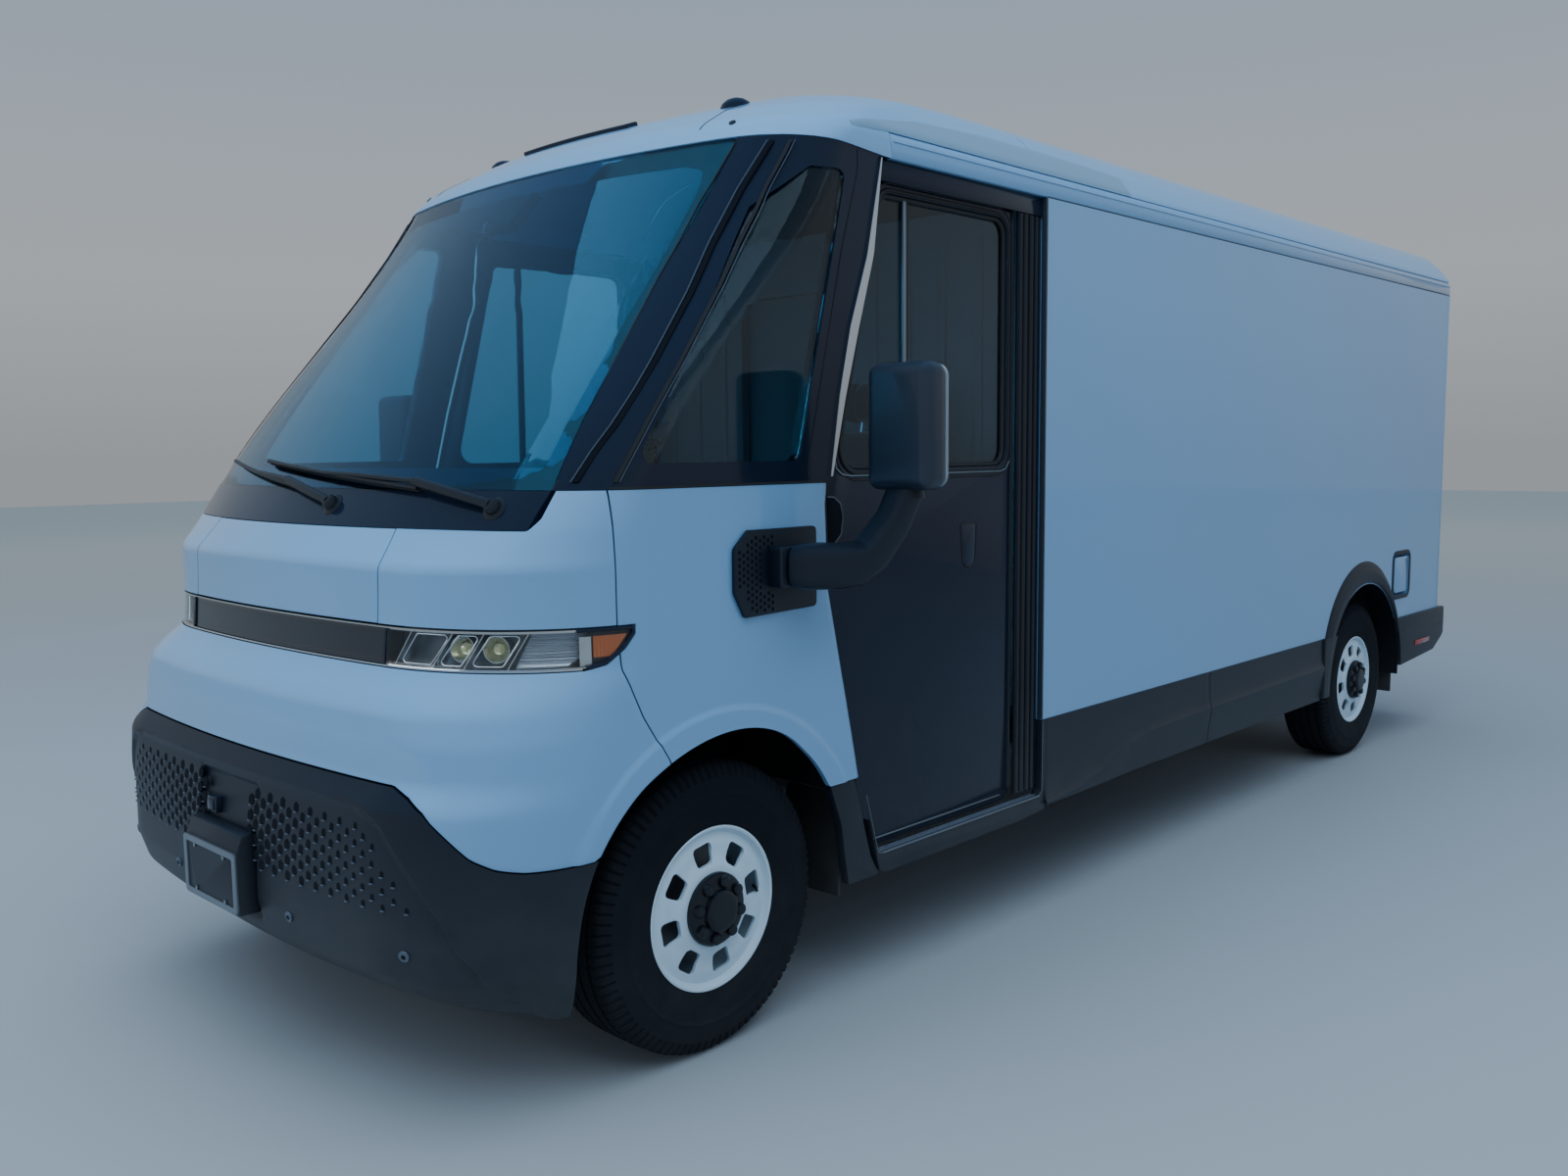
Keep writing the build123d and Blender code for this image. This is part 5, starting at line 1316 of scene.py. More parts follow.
# ---------------- mirrors
# A perforated plastic base plate on the fender, a stepped block and elbow, a thick flattened
# arm, and a tall rounded housing with two mirror glasses in its rear face.
mirror_shape = rounded([(0.03, 1.378), (0.03, 1.262), (0.068, 1.192), (0.35, 1.2), (0.35, 1.425),
    (0.082, 1.425)], [0.02, 0.02, 0.012, 0.014, 0.014, 0.012], 5)
pair(slab("mirror_base_left", mirror_shape, 0, 1.0402, 0.0145, edge=0.004, segments=3), grey_plastic,
    "mirrors")
holes = []
for column in range(9):
    y = 0.046 + 0.0155 * column
    for row in range(13):
        z = 1.208 + 0.0178 * row + 0.0089 * (column % 2)
        if z > 1.412 or (y < 0.07 and not 1.275 < z < 1.372) or (y < 0.086 and not 1.235 < z < 1.4):
            continue
        if y > 0.125 and 1.255 < z < 1.372:
            continue
        holes.append(Matrix.Translation(at(1.054, y, z)) @ quarter_turn("Y"))
pair(scattered("mirror_holes_left", prism(6, 0.0062, 0.0016), holes), matt_black)
pair(slab("mirror_block_left", oblong(0.152, 0.33, 1.268, 1.378, 0.012), 0, 1.05, 0.055, edge=0.006,
    segments=3), grey_plastic)


def swept(name, sections, edge):
    """A body through rounded box sections, each (middle, along, up, half width, half height)."""
    rows = []
    ring = 20
    for middle, along, up, wide, high in sections:
        along, up = Vector(along).normalized(), Vector(up).normalized()
        side = along.cross(up).normalized()
        up = side.cross(along)
        for k in range(ring):
            angle = 2 * pi * (k + 0.5) / ring
            c, s = cos(angle), sin(angle)
            rows.append(at(*middle) + side * copysign(abs(c) ** 0.55, c) * wide + up
                * copysign(abs(s) ** 0.55, s) * high)
    faces = [[i * ring + k, i * ring + (k + 1) % ring, (i + 1) * ring + (k + 1) % ring, (i + 1) * ring + k]
        for i in range(len(sections) - 1) for k in range(ring)]
    faces += [list(range(ring))[::-1], list(range((len(sections) - 1) * ring, len(sections) * ring))]
    mesh = bpy.data.meshes.new(name)
    mesh.from_pydata(rows, [], faces)
    piece = linked(name, mesh)
    faces_out(piece)
    soften(piece, edge, 3, 50, 42)
    return piece


elbow = swept("mirror_elbow_left", [((1.098, 0.25, 1.322), (1, 0.15, 0), (0, 0, 1), 0.082, 0.062),
    ((1.135, 0.262, 1.322), (1, 0.25, 0), (0, 0, 1), 0.08, 0.063), ((1.175, 0.3, 1.322), (0.8, 0.6, 0),
    (0, 0, 1), 0.06, 0.062), ((1.2, 0.352, 1.326), (0.5, 0.8, 0.25), (0, -0.2, 1), 0.048, 0.06),
    ((1.215, 0.392, 1.35), (0.4, 0.6, 0.8), (0, -0.8, 0.6), 0.044, 0.052),
    ((1.255, 0.44, 1.44), (0.35, 0.45, 0.9), (0, -0.9, 0.4), 0.044, 0.044), ((1.285, 0.468, 1.545),
    (0.15, 0.2, 1), (0, -1, 0.1), 0.046, 0.04)], edge=0.006)
pair(elbow, grey_plastic)
HOUSING = ((1.18, 1.4), (0.404, 0.498), (1.524, 1.866))
housing = block("mirror_housing_left", *HOUSING, edge=0.0)
soften(housing, 0.034, 6, 40, 50)
mirror_black = coating("mirror_black", (0.01, 0.018, 0.033), 0.36, coat=0.2, peel=(500, 0.12, 0.0005),
    dirt=(0.8, 0.0), slot="black_plastic")
pair(housing, mirror_black)
# A lighter grey rim round the rear face is a painted highlight, the housing's lit side.
rim_shape = [(1.184, 1.53), (1.396, 1.53), (1.396, 1.86), (1.184, 1.86)]
mirror_rim = cut_away(slab("mirror_rim_left", rounded(rim_shape, 0.034, 6), 1, 0.487, 0.0125),
    slab("rim_hole", oblong(1.2, 1.38, 1.546, 1.844, 0.024, 6), 1, 0.49, 0.05))
soften(mirror_rim, 0.002)
pair(mirror_rim, coating("mirror_rim", (0.2, 0.235, 0.27), 0.4, peel=(800, 0.15, 0.0004), dirt=(0.8, 0.0)))
mirror_glass = coating("mirror_glass", (0.72, 0.76, 0.8), 0.03, metal=1.0, peel=(20, 0.01, 0.0003),
    dirt=CLEAN, spread=0.01)
for name, z0, z1 in (("main", 1.634, 1.842), ("wide", 1.549, 1.628)):
    pair(slab(f"mirror_glass_{name}_left", oblong(1.203, 1.377, z0, z1, 0.018, 5), 1, 0.493, 0.0035,
        edge=0.0006), mirror_glass)
pair(turned("mirror_collar_left", [(-0.03, 0.0), (-0.03, 0.044), (0.004, 0.04), (0.01, 0.0)], 32,
    (1.29, 0.462, 1.532), axis="Z"), grey_plastic)

# ---------------- sills, steps and rear wheel arches
# Grained dark mouldings run along the foot of the body: a door sill with a ribbed tread and a
# bright edge, a crease that turns the lower face under, and a raised band over the rear wheel.
sill = slab("sill_front_left", rounded([(0.56, 0.64), (0.624, 0.415), (1.54, 0.415), (1.54, 0.6847),
    (1.556, 0.6847), (1.556, 0.362), (1.4, 0.352), (0.64, 0.352)], [0.01, 0.03, 0.03, 0, 0, 0, 0, 0.04]), 0,
    1.0085, 0.035, edge=0.003)
sill_front = slab("fender_foot_left", rounded([(0.421, 0.664), (0.527, 0.6655), (0.6, 0.42), (0.64, 0.352),
    (0.5, 0.352), (0.487, 0.42), (0.468, 0.54)], 0.004), 0, 1.0085, 0.03, edge=0.003)
pair(join("sill_front_left", sill, sill_front), grey_plastic, "rockers")
CREASE = [(1.6, 0.388), (1.771, 0.402), (1.976, 0.445), (2.149, 0.5), (2.3, 0.522), (2.82, 0.533),
    (4.08, 0.545)]


def sill_face(z, crease):
    """How far out the moulding's face stands: it sweeps out to the crease and falls back under it."""
    if z >= crease:
        return 1.0435 + 0.0125 * exp((crease - z) / 0.022)
    return 1.056 - 0.022 * min(1.0, (crease - z) / 0.16)


def sill_place(a, b, y0, y1):
    y = y0 + a * (y1 - y0)
    crease = line(CREASE, y)
    z = 0.379 + b * 2 * (crease - 0.379) if b < 0.5 else crease + (2 * b - 1) ** 1.6 * (0.6847 - crease)
    return at(sill_face(z, crease), y, z)


for name, y0, y1 in (("middle", 1.556, 2.836), ("back", 2.84, 4.075)):
    length = grid(f"sill_{name}_left", 60, 32, lambda a, b, y0=y0, y1=y1: sill_place(a, b, y0, y1))
    change(length, "SOLIDIFY", thickness=0.03, offset=-1.0)
    soften(length, 0.0015, 2, 50)
    smooth(length, 28)
    pair(length, grey_plastic)
# The sill's front edge is a thin strip of painted highlight.
pair(tube("sill_edge_left", [(1.0425, 0.575, 0.61), (1.0425, 0.628, 0.424), (1.0425, 0.642, 0.4165),
    (1.0425, 0.66, 0.4155), (1.0425, 1.52, 0.4155), (1.0425, 1.54, 0.43), (1.0425, 1.541, 0.68)], 0.0028),
    pillar_step_highlight)
pair(tube("sill_bright_left", [(1.0425, 0.65, 0.416), (1.0425, 1.524, 0.416)], 0.0034), satin_metal)
treads = [block("tread", (1.0105 + 0.0085 * k, 1.015 + 0.0085 * k), (0.65, 1.515), (0.413, 0.4205), 0.001)
    for k in range(3)]
pair(join("sill_treads_left", *treads), worn_and_highlit_plastic)
well_treads = [block("well_tread", (0.69 + 0.028 * k, 0.704 + 0.028 * k), (0.64, 1.395), (0.4185, 0.4235),
    0.0015) for k in range(9)]
pair(join("well_treads_left", *well_treads), worn_and_highlit_plastic)
pair(block("front_mud_flap_left", (0.78, 0.985), (0.512, 0.522), (0.3, 0.62), 0.003), rubber)

ARCH_MIDDLE = (4.66, 0.402)


def flare_place(a, b):
    """Across the band: the lip in the opening, up to the ridge, down to the body."""
    angle = radians(177.0 - 173.0 * a)
    y_in, z_in = ARCH_MIDDLE[0] - 0.508 * cos(pi - angle), ARCH_MIDDLE[1] + 0.508 * sin(angle)
    way = Vector((y_in - ARCH_MIDDLE[0], z_in - ARCH_MIDDLE[1])).normalized()
    reach = 0.0
    for _ in range(24):
        y, z = y_in + way.x * reach, z_in + way.y * reach
        reach += (0.535 - hypot(y - 4.606, z - 0.497)) * 0.7
    reach = max(reach, 0.004)
    share = max(0.0, (b - 0.2) / 0.8)
    x = line([(0.0, 1.004), (0.2, 1.036), (0.32, 1.052), (0.62, 1.056), (0.9, 1.0475), (1.0, 1.0405)], b)
    return at(x, y_in + way.x * reach * share, z_in + way.y * reach * share)


flare = grid("arch_band_left", 120, 16, flare_place)
change(flare, "SOLIDIFY", thickness=0.004, offset=-1.0)
faces_out(flare)
smooth(flare, 45)
pair(flare, grey_plastic, "arch_flares")


def liner_place(a, b):
    angle = pi * (1.02 - 1.04 * a)
    return at(0.931 + 0.108 * b, ARCH_MIDDLE[0] - 0.506 * cos(pi - angle), ARCH_MIDDLE[1] + 0.506
        * sin(angle))


arch_liner = grid("arch_liner_left", 80, 2, liner_place)
change(arch_liner, "SOLIDIFY", thickness=0.003, offset=0.0)
smooth(arch_liner)
pair(arch_liner, matt_black)
lower = slab("arch_lower_left", [(4.079, 0.388), (4.079, 0.6848), (5.87, 0.6848), (5.88, 0.67), (5.88, 0.529),
    (5.85, 0.508), (5.71, 0.446), (5.05, 0.413)], 0, 1.0085, 0.0465)
opening = turned("opening", plain_rod(0.2, 0.508), 120, (0.95, *ARCH_MIDDLE))
lower = cut_away(lower, opening)
soften(lower, 0.006, 3)
pair(lower, grey_plastic)
pair(tube("arch_lower_crease_left", [(1.0535, 5.165, 0.596), (1.0545, 5.6, 0.592), (1.054, 5.872, 0.59)],
    0.003), grey_plastic)
red_reflector = lamp_plastic("side_reflector", (0.3, 0.022, 0.018), 0.2)
pair(block("side_reflector_left", (1.0535, 1.0605), (5.387, 5.617), (0.505, 0.533), 0.003), red_reflector)
pair(block("rear_mud_flap_left", (0.7, 0.99), (5.205, 5.217), (0.26, 0.64), 0.003), rubber)

# ---------------- roof fittings and side trim
# The cap has a joint line each side, black plugs, two dome pods and a low marker bar.  A side facet
# painted darker as painted shade, a dark rear corner piece and a rubber line finish the sides under the roof.
# The side facet's darker blue is painted shade, the shading on the dome's side wall.
facet_painted_shade = coating("painted_shade_facet", (0.135, 0.255, 0.385), 0.36, coat=0.6, peel=(260, 0.05, 0.0006),
    tones=(0.9, 0.05), slot="white_paint")
FACET_TOP = [(0.53, 2.5385), (0.616, 2.571), (0.822, 2.615), (1.141, 2.637), (1.478, 2.64), (1.828, 2.632),
    (2.12, 2.622)]
pair(skin_panel("roof_facet_left", 60, 10, y_edge(0.535), y_edge(2.12),
    lambda u: line([(0.53, 2.5372), (0.7, 2.5495), (2.2, 2.5495)], skin(u, 2.56).y - AXLE_Y),
    lambda u: line(FACET_TOP, skin(u, 2.58).y - AXLE_Y), thickness=0.002, relief=0.0012), facet_painted_shade)
JOINT = [(2.5, 0.688), (2.56, 0.68), (2.66, 0.64)]
pair(skin_strip("cap_joint_left", x_edge(JOINT), 2.5, 2.65, 0.0035, stand=0.0008, thickness=0.002), rubber)
plug_u = u_at(0, 0.786, 2.551)
plugs = [facing_out(skin(k * plug_u, 2.551), outward(k * plug_u, 2.551)) for k in (-1, 1)]
finish(scattered("roof_plugs", prism(20, 0.0105, 0.004), plugs), rubber)
pods = []
for way in (-1, 1):
    u, z = way * u_at(0, 0.6, 2.668), 2.668
    pod = turned("pod", [(-0.02, 0.0), (-0.02, 0.05), (0.004, 0.049), (0.016, 0.042), (0.027, 0.026),
        (0.031, 0.01), (0.032, 0.0)], 32, (0, -AXLE_Y, 0), axis="Z")
    pod.data.transform(facing_out(skin(u, z) - Vector((0, 0, 0.01)), outward(u, z) + Vector((0, 0, 1.2))))
    pods.append(pod)
finish(join("roof_pods", *pods), gloss_black)
finish(skin_panel("roof_marker_bar", 40, 6, x_edge(0.27, -1), x_edge(0.27), 2.632, 2.65, thickness=0.018,
    edge=0.005, relief=0.012), gloss_black)
pair(skin_panel("roof_rear_corner_left", 8, 10, y_edge(5.72), y_edge(5.797), 2.55, lambda u: 2.552 + 0.95
    * max(0.0, skin(u, 2.56).y - AXLE_Y - 5.722), thickness=0.004, relief=0.0025), matt_black)
pair(block("side_line_left", (1.034, 1.0405), (1.546, 5.799), (2.4712, 2.4742), 0.0005), rubber)
pair(tube("rail_bead_left", [(1.0395, 0.712, 2.5235), (1.0395, 5.79, 2.5235)], 0.0026), white_paint)
pair(slab("rear_post_left", [(5.775, 0.69), (5.7995, 0.69), (5.7995, 2.471), (5.775, 2.471)], 0, 1.036,
    0.0052, edge=0.002), white_paint)

# ---------------- charging flap and socket
# A painted flap on two pins in a dark moulded surround; behind it a fast-charging socket with
# two power contacts and a ring of small ones in a black body.
low_y, high_y, low_z, high_z = 5.06, 5.268, 0.826, 1.02


def flap_outline(grow, corner):
    return oblong(low_y - grow, high_y + grow, low_z - grow, high_z + grow, corner, 6)


flap = slab("charge_flap_skin", flap_outline(0.0, 0.03), 0, 1.0325, 0.0075, edge=0.0015)
barrels = [turned("barrel", plain_rod(0.025, 0.004), 20, (1.04, 5.054, z), axis="Z") for z in (0.866, 0.955)]
tongues = [block("tongue", (1.0362, 1.0398), (5.054, 5.064), (z, z + 0.025), 0.0005) for z in (0.866, 0.955)]
finish(join("charge_flap_skin", flap, *barrels, *tongues), white_paint, "charge_flap", body="charge_flap")
finish(slab("charge_flap_back", flap_outline(-0.012, 0.022), 0, 1.031, 0.0018, edge=0.0006), grey_plastic,
    body="charge_flap")
ring = cut_away(slab("charge_surround", flap_outline(0.036, 0.055), 0, 1.0395, 0.0042),
    slab("surround_hole", flap_outline(0.0138, 0.012), 0, 1.0, 0.1))
soften(ring, 0.0015)
finish(ring, grey_plastic)
socket_at = ((low_y + high_y) / 2, (low_z + high_z) / 2)
finish(turned("charge_socket", [(0.9805, 0.0), (0.9805, 0.0445), (1.0145, 0.0445), (1.015, 0.042),
    (1.015, 0.034), (0.999, 0.0325), (0.999, 0.0)], 48, (0, *socket_at)), matt_black, "charge_inlet")
contacts = [turned("contact", [(0.9985, 0.0), (0.9985, r), (1.0085, r), (1.009, r * 0.75), (1.002, r * 0.7),
    (1.002, 0.0)], 20, (0, socket_at[0] + y, socket_at[1] + z)) for y, z, r in ((-0.011, -0.016, 0.0085),
    (0.011, -0.016, 0.0085), (0.0, 0.008, 0.0045), (-0.013, 0.01, 0.0045), (0.013, 0.01, 0.0045),
    (-0.008, 0.02, 0.0035), (0.008, 0.02, 0.0035))]
finish(join("charge_contacts", *contacts), satin_metal)

# ---------------- back of the van
# Two side-hinged doors with pressed panels and lock rods in a painted portal, black straps and
# hinges, upright lamp units and a plastic step with a ribbed tread.
HINGES = (0.9, 1.56, 2.22)
back_leaf = block("rear_leaf_left", (0.0075, 0.9855), (5.8065, 5.8505), (0.7305, 2.4395), 0.004)
pressing = slab("rear_pressing", oblong(0.085, 0.905, 1.5, 2.35, 0.05, 6), 1, 5.85, 0.004, edge=0.0018)
lower_pressing = slab("rear_pressing_low", oblong(0.085, 0.905, 0.82, 1.4, 0.05, 6), 1, 5.85, 0.004,
    edge=0.0018)
pair(join("rear_leaf_left", back_leaf, pressing, lower_pressing), white_paint, "rear_door_left",
    body="rear_door_left")
pair(cut_away(slab("rear_door_seal_left", oblong(0.0075, 0.985, 0.732, 2.438, 0.01), 1, 5.8035, 0.0035),
    slab("seal_hole", oblong(0.03, 0.962, 0.755, 2.415, 0.02), 1, 5.79, 0.1)), rubber, body="rear_door_left")
straps = []
for z in HINGES:
    straps.append(slab("strap", oblong(0.89, 0.994, z + 0.022, z + 0.058, [0.014, 0, 0, 0.014]), 1, 5.8505,
        0.0075, edge=0.0015))
    straps.append(turned("knuckle", plain_rod(0.036, 0.0105), 24, (1.0, 5.857, z + 0.022), axis="Z"))
    straps += [turned("bolt", [(0.0, 0.0), (0.0, 0.0065), (0.004, 0.006), (0.005, 0.0)], 6,
        (x, 5.8578, z + 0.04), axis="Y") for x in (0.91, 0.945)]
pair(join("rear_straps_left", *straps), matt_black, body="rear_door_left")
fixed = []
for z in HINGES:
    fixed.append(turned("pin", plain_rod(0.08, 0.0058), 20, (1.0, 5.857, z), axis="Z"))
    for low in (z, z + 0.06):
        fixed.append(turned("ear", plain_rod(0.02, 0.0108), 24, (1.0, 5.857, low), axis="Z"))
        fixed.append(block("arm", (0.9915, 1.0085), (5.8005, 5.857), (low, low + 0.02), 0.0015))
    fixed.append(block("plate", (0.9915, 1.0235), (5.8005, 5.8078), (z, z + 0.08), 0.0015))
pair(join("rear_hinges_left", *fixed), matt_black, "rear_hinges")
rods = [tube("rod", [(0.06, 5.872, 0.79), (0.06, 5.872, 2.38)], 0.0095)]
rods += [block("keeper", (0.04, 0.08), (5.85, 5.884), (z, z + 0.035), 0.003) for z in (0.84, 1.24, 1.82, 2.3)]
rods += [slab("lever", oblong(0.045, 0.075, 1.395, 1.62, 0.012), 1, 5.882, 0.01, edge=0.003),
    block("lever_root", (0.046, 0.074), (5.866, 5.884), (1.4, 1.44), 0.003)]
pair(join("rear_lock_left", *rods), satin_metal, body="rear_door_left")

pair(block("tail_lamp_left", (1.0045, 1.0355), (5.8005, 5.818), (1.0105, 1.3095), 0.003), matt_black,
    "tail_lamps")
red_lens = lamp_plastic("tail_red", (0.42, 0.012, 0.012), 0.16, slot="lamp_red")
clear_lens = lamp_plastic("tail_clear", (0.55, 0.58, 0.6), 0.14, slot="lamp_clear")
for name, z0, z1, coat in (("stop", 1.165, 1.305, red_lens), ("turn", 1.085, 1.16, amber),
        ("reverse", 1.015, 1.08, clear_lens)):
    pair(block(f"tail_{name}_left", (1.007, 1.033), (5.818, 5.8295), (z0, z1), 0.004, 3), coat)
finish(block("high_brake_lamp", (-0.11, 0.11), (5.8005, 5.812), (2.447, 2.466), 0.003), red_lens)
step = slab("rear_step", [(5.86, 0.478), (5.868, 0.47), (5.925, 0.47), (5.935, 0.482), (5.935, 0.55),
    (5.925, 0.5595), (5.86, 0.5595)], 0, -0.98, 1.96, edge=0.004)
bracket = block("rear_step_bracket", (-0.6, 0.6), (5.74, 5.862), (0.4805, 0.5395), 0.004)
finish(join("rear_step", step, bracket), grey_plastic, "rear_bumper")
ridges = [block("ridge", (-0.9, 0.9), (5.868 + 0.013 * k, 5.874 + 0.013 * k), (0.559, 0.5628), 0.001)
    for k in range(5)]
finish(join("rear_step_tread", *ridges), worn_and_highlit_plastic)
rear_marks = [block("rear_mark", (x, x + 0.09), (5.9345, 5.9375), (0.5, 0.53), 0.002) for x in (-0.94, 0.85)]
finish(join("rear_step_marks", *rear_marks), red_reflector)

# ---------------- dashboard and steering wheel
# A grained moulded shelf carries a hooded instrument panel, a wide centre screen and air vents;
# the wheel has a padded rim, three spokes and a boss on a raked column.
dash_plastic = coating("dash_plastic", (0.02, 0.024, 0.03), 0.58, peel=(800, 0.3, 0.0005), dirt=CLEAN,
    slot="dash_plastic")
trim_grey = coating("cab_trim", (0.07, 0.078, 0.086), 0.55, peel=(900, 0.25, 0.0004), dirt=(0.7, 0.12))
screen_black = coating("screen_glass", (0.004, 0.005, 0.007), 0.08, coat=1.0, peel=(60, 0.01, 0.0002),
    dirt=CLEAN)
shelf_shape = rounded([(-0.555, 1.38), (-0.385, 1.4695), (-0.152, 1.4395), (-0.1115, 1.3), (-0.201, 1.181),
    (-0.3985, 1.181), (-0.3985, 1.378)], [0.008, 0.03, 0.03, 0.03, 0.02, 0.005, 0.005])
dash = slab("dashboard_shell", shelf_shape, 0, -0.878, 1.756, edge=0.008, segments=3)
hood_shape = rounded([(-0.34, 1.44), (-0.285, 1.518), (-0.13, 1.508), (-0.122, 1.48), (-0.15, 1.425)], 0.015)
binnacle = slab("binnacle", hood_shape, 0, 0.31, 0.34, edge=0.012, segments=3)
finish(join("dashboard_shell", dash, binnacle), dash_plastic, "dashboard")
dials = slab("dials", oblong(0.325, 0.635, 1.442, 1.498, 0.012), 1, -0.1295, 0.004, edge=0.001)
display = slab("display", oblong(-0.17, 0.15, 1.3, 1.5, 0.018), 1, -0.122, 0.014, edge=0.004)
finish(join("screens", dials, display), screen_black)
vents, slats = [], []
for x in (-0.78, -0.33, 0.25, 0.78):
    outer = slab("vent", oblong(x - 0.072, x + 0.072, 1.345, 1.412, 0.014), 1, -0.146, 0.02)
    inner = slab("vent_hole", oblong(x - 0.064, x + 0.064, 1.353, 1.404, 0.01), 1, -0.14, 0.1)
    vents.append(cut_away(outer, inner))
    slats += [block("slat", (x - 0.063, x + 0.063), (-0.139, -0.127), (1.36 + 0.011 * k, 1.363 + 0.011 * k),
        0.001) for k in range(4)]
finish(join("air_vents", *vents), satin_metal)
finish(join("vent_slats", *slats), matt_black)
glove_box = slab("glove_box", oblong(-0.82, -0.4, 1.205, 1.318, 0.02), 1, -0.2, 0.07, edge=0.006)
knee_panel = slab("knee_panel", oblong(0.25, 0.72, 1.205, 1.31, 0.02), 1, -0.2, 0.07, edge=0.006)
finish(join("dash_lower_panels", glove_box, knee_panel), trim_grey)

WHEEL_AT = Matrix.Translation(at(0.48, 0.19, 1.42)) @ Matrix.Rotation(radians(-62), 4, "X")
pick()
bpy.ops.mesh.primitive_torus_add(major_segments=72, minor_segments=16, major_radius=0.19, minor_radius=0.0155)
rim_ring = bpy.context.object
rim_ring.data.transform(WHEEL_AT)
smooth(rim_ring)
finish(join("steering_rim", rim_ring), matt_black, "steering_wheel")
spokes = [block("spoke", x, y, (-0.009, 0.007), 0.005) for x, y in (((-0.18, -0.05), (-0.022, 0.022)),
    ((0.05, 0.18), (-0.022, 0.022)), ((-0.018, 0.018), (-0.18, -0.04)))]
boss = block("boss", (-0.068, 0.068), (-0.06, 0.052), (-0.022, 0.024), 0.02, 4)
for part in (*spokes, boss):
    part.data.transform(Matrix.Translation((0, -AXLE_Y, 0)))
    part.data.transform(WHEEL_AT)
finish(join("steering_boss", *spokes, boss), dash_plastic)
column = tube("steering_column", [(0.48, 0.178, 1.4137), (0.48, -0.148, 1.2411)], 0.03, sides=8)
stalks = [tube("stalk_left", [(0.48, 0.12, 1.385), (0.6, 0.128, 1.4), (0.65, 0.135, 1.408)], 0.007),
    tube("stalk_right", [(0.48, 0.12, 1.385), (0.36, 0.128, 1.4), (0.31, 0.135, 1.408)], 0.007)]
finish(join("steering_column", column, *stalks), dash_plastic)

# ---------------- driver's seat
# A foam cushion, back and headrest in woven cloth with piped edges, on a painted steel box
# base; the foam swells in a cloth simulation, held close to its cut shape.
seat_cloth = coating("seat_cloth", (0.045, 0.055, 0.07), 0.85, peel=(620, 0.6, 0.0009), tones=(26.0, 0.35),
    dirt=CLEAN, spread=0.1, specular=0.2, sheen=0.6, slot="seat_fabric")
piping = coating("seat_piping", (0.16, 0.19, 0.23), 0.7, peel=(900, 0.4, 0.0005), dirt=CLEAN,
    slot="seat_fabric")


def swell(pad, pressure, cap):
    """Foam swelling in its cover: the pad's surface blown out, no point further than cap."""
    change(pad, "REMESH", mode="VOXEL", voxel_size=0.006)
    start = [vertex.co.copy() for vertex in pad.data.vertices]
    cloth = pad.modifiers.new("foam", "CLOTH")
    cloth.settings.use_pressure = True
    cloth.settings.uniform_pressure_force = pressure
    cloth.settings.effector_weights.gravity = 0.0
    cloth.settings.quality = 4
    cloth.point_cache.frame_start = 1
    cloth.point_cache.frame_end = 20
    for step in range(1, 21):
        bpy.context.scene.frame_set(step)
    pick(pad)
    bpy.ops.object.modifier_apply(modifier=cloth.name)
    bpy.context.scene.frame_set(1)
    for vertex, was in zip(pad.data.vertices, start):
        moved = vertex.co - was
        if moved.length > cap:
            vertex.co = was + moved.normalized() * cap
    change(pad, "SMOOTH", factor=0.5, iterations=4)
    smooth(pad, 60)
    return pad


def pad_shape(name, width, depth, height, crown_by, waist, place):
    """A crowned pad whose sides pull in a little between its corners, with two sewn channels."""
    shape = block(name, (-width / 2, width / 2), (-depth / 2, depth / 2), (-height / 2, height / 2),
        min(width, depth, height) * 0.3, 4)
    shape.data.transform(Matrix.Translation((0, -AXLE_Y, 0)))
    change(shape, "REMESH", mode="VOXEL", voxel_size=0.012)
    for vertex in shape.data.vertices:
        x, y, z = (2 * c / size for c, size in zip(vertex.co, (width, depth, height)))
        bulge = (1 - min(1, x * x)) * (1 - min(1, (z if height > depth else y) ** 2))
        channel = exp(-((abs(vertex.co.x) - width * 0.29) / 0.007) ** 2) * 0.006
        if height > depth:
            vertex.co.y -= (crown_by * bulge - channel) * (1 if y < 0 else 0)
        else:
            vertex.co.z += (crown_by * bulge - channel) * (1 if z > 0 else 0)
        vertex.co.x *= 1 - waist * (1 - min(1, (z if height > depth else y) ** 2))
    shape.data.transform(place)
    return shape


LEAN = Matrix.Rotation(radians(-10), 4, "X")
cushion = pad_shape("seat_cushion", 0.47, 0.492, 0.098, 0.01, 0.02,
    Matrix.Translation(at(0.48, 0.9925, 1.0165)))
back_pad = pad_shape("seat_back", 0.47, 0.086, 0.608, 0.01, 0.03, Matrix.Translation(at(0.48, 1.25, 1.4052))
    @ LEAN)
head_pad = pad_shape("seat_headrest", 0.276, 0.068, 0.146, 0.004, 0.02,
    Matrix.Translation(at(0.48, 1.316, 1.8027)) @ LEAN)
for pad, pressure, cap in ((cushion, 4.0, 0.01), (back_pad, 4.0, 0.01), (head_pad, 3.0, 0.007)):
    swell(pad, pressure, cap)
    finish(pad, seat_cloth, *(("driver_seat",) if pad is cushion else ()))
finish(tube("seat_piping", [(x, y, 1.046) for x, y in oblong(0.246, 0.714, 0.745, 1.18, 0.05)], 0.0028,
    closed=True), piping)
seat_box = block("seat_base", (0.332, 0.628), (0.772, 1.128), (0.6305, 0.958), 0.006)
runners = [block("seat_runner", (x, x + 0.036), (0.75, 1.18), (0.92, 0.9595), 0.003) for x in (0.318, 0.606)]
tray = block("seat_tray", (0.262, 0.698), (0.76, 1.22), (0.9585, 0.97), 0.003)
finish(join("seat_base", seat_box, *runners, tray), matt_black)
posts = [tube("head_post", [(x, 1.299, 1.69), (x, 1.31, 1.752)], 0.006) for x in (0.42, 0.54)]
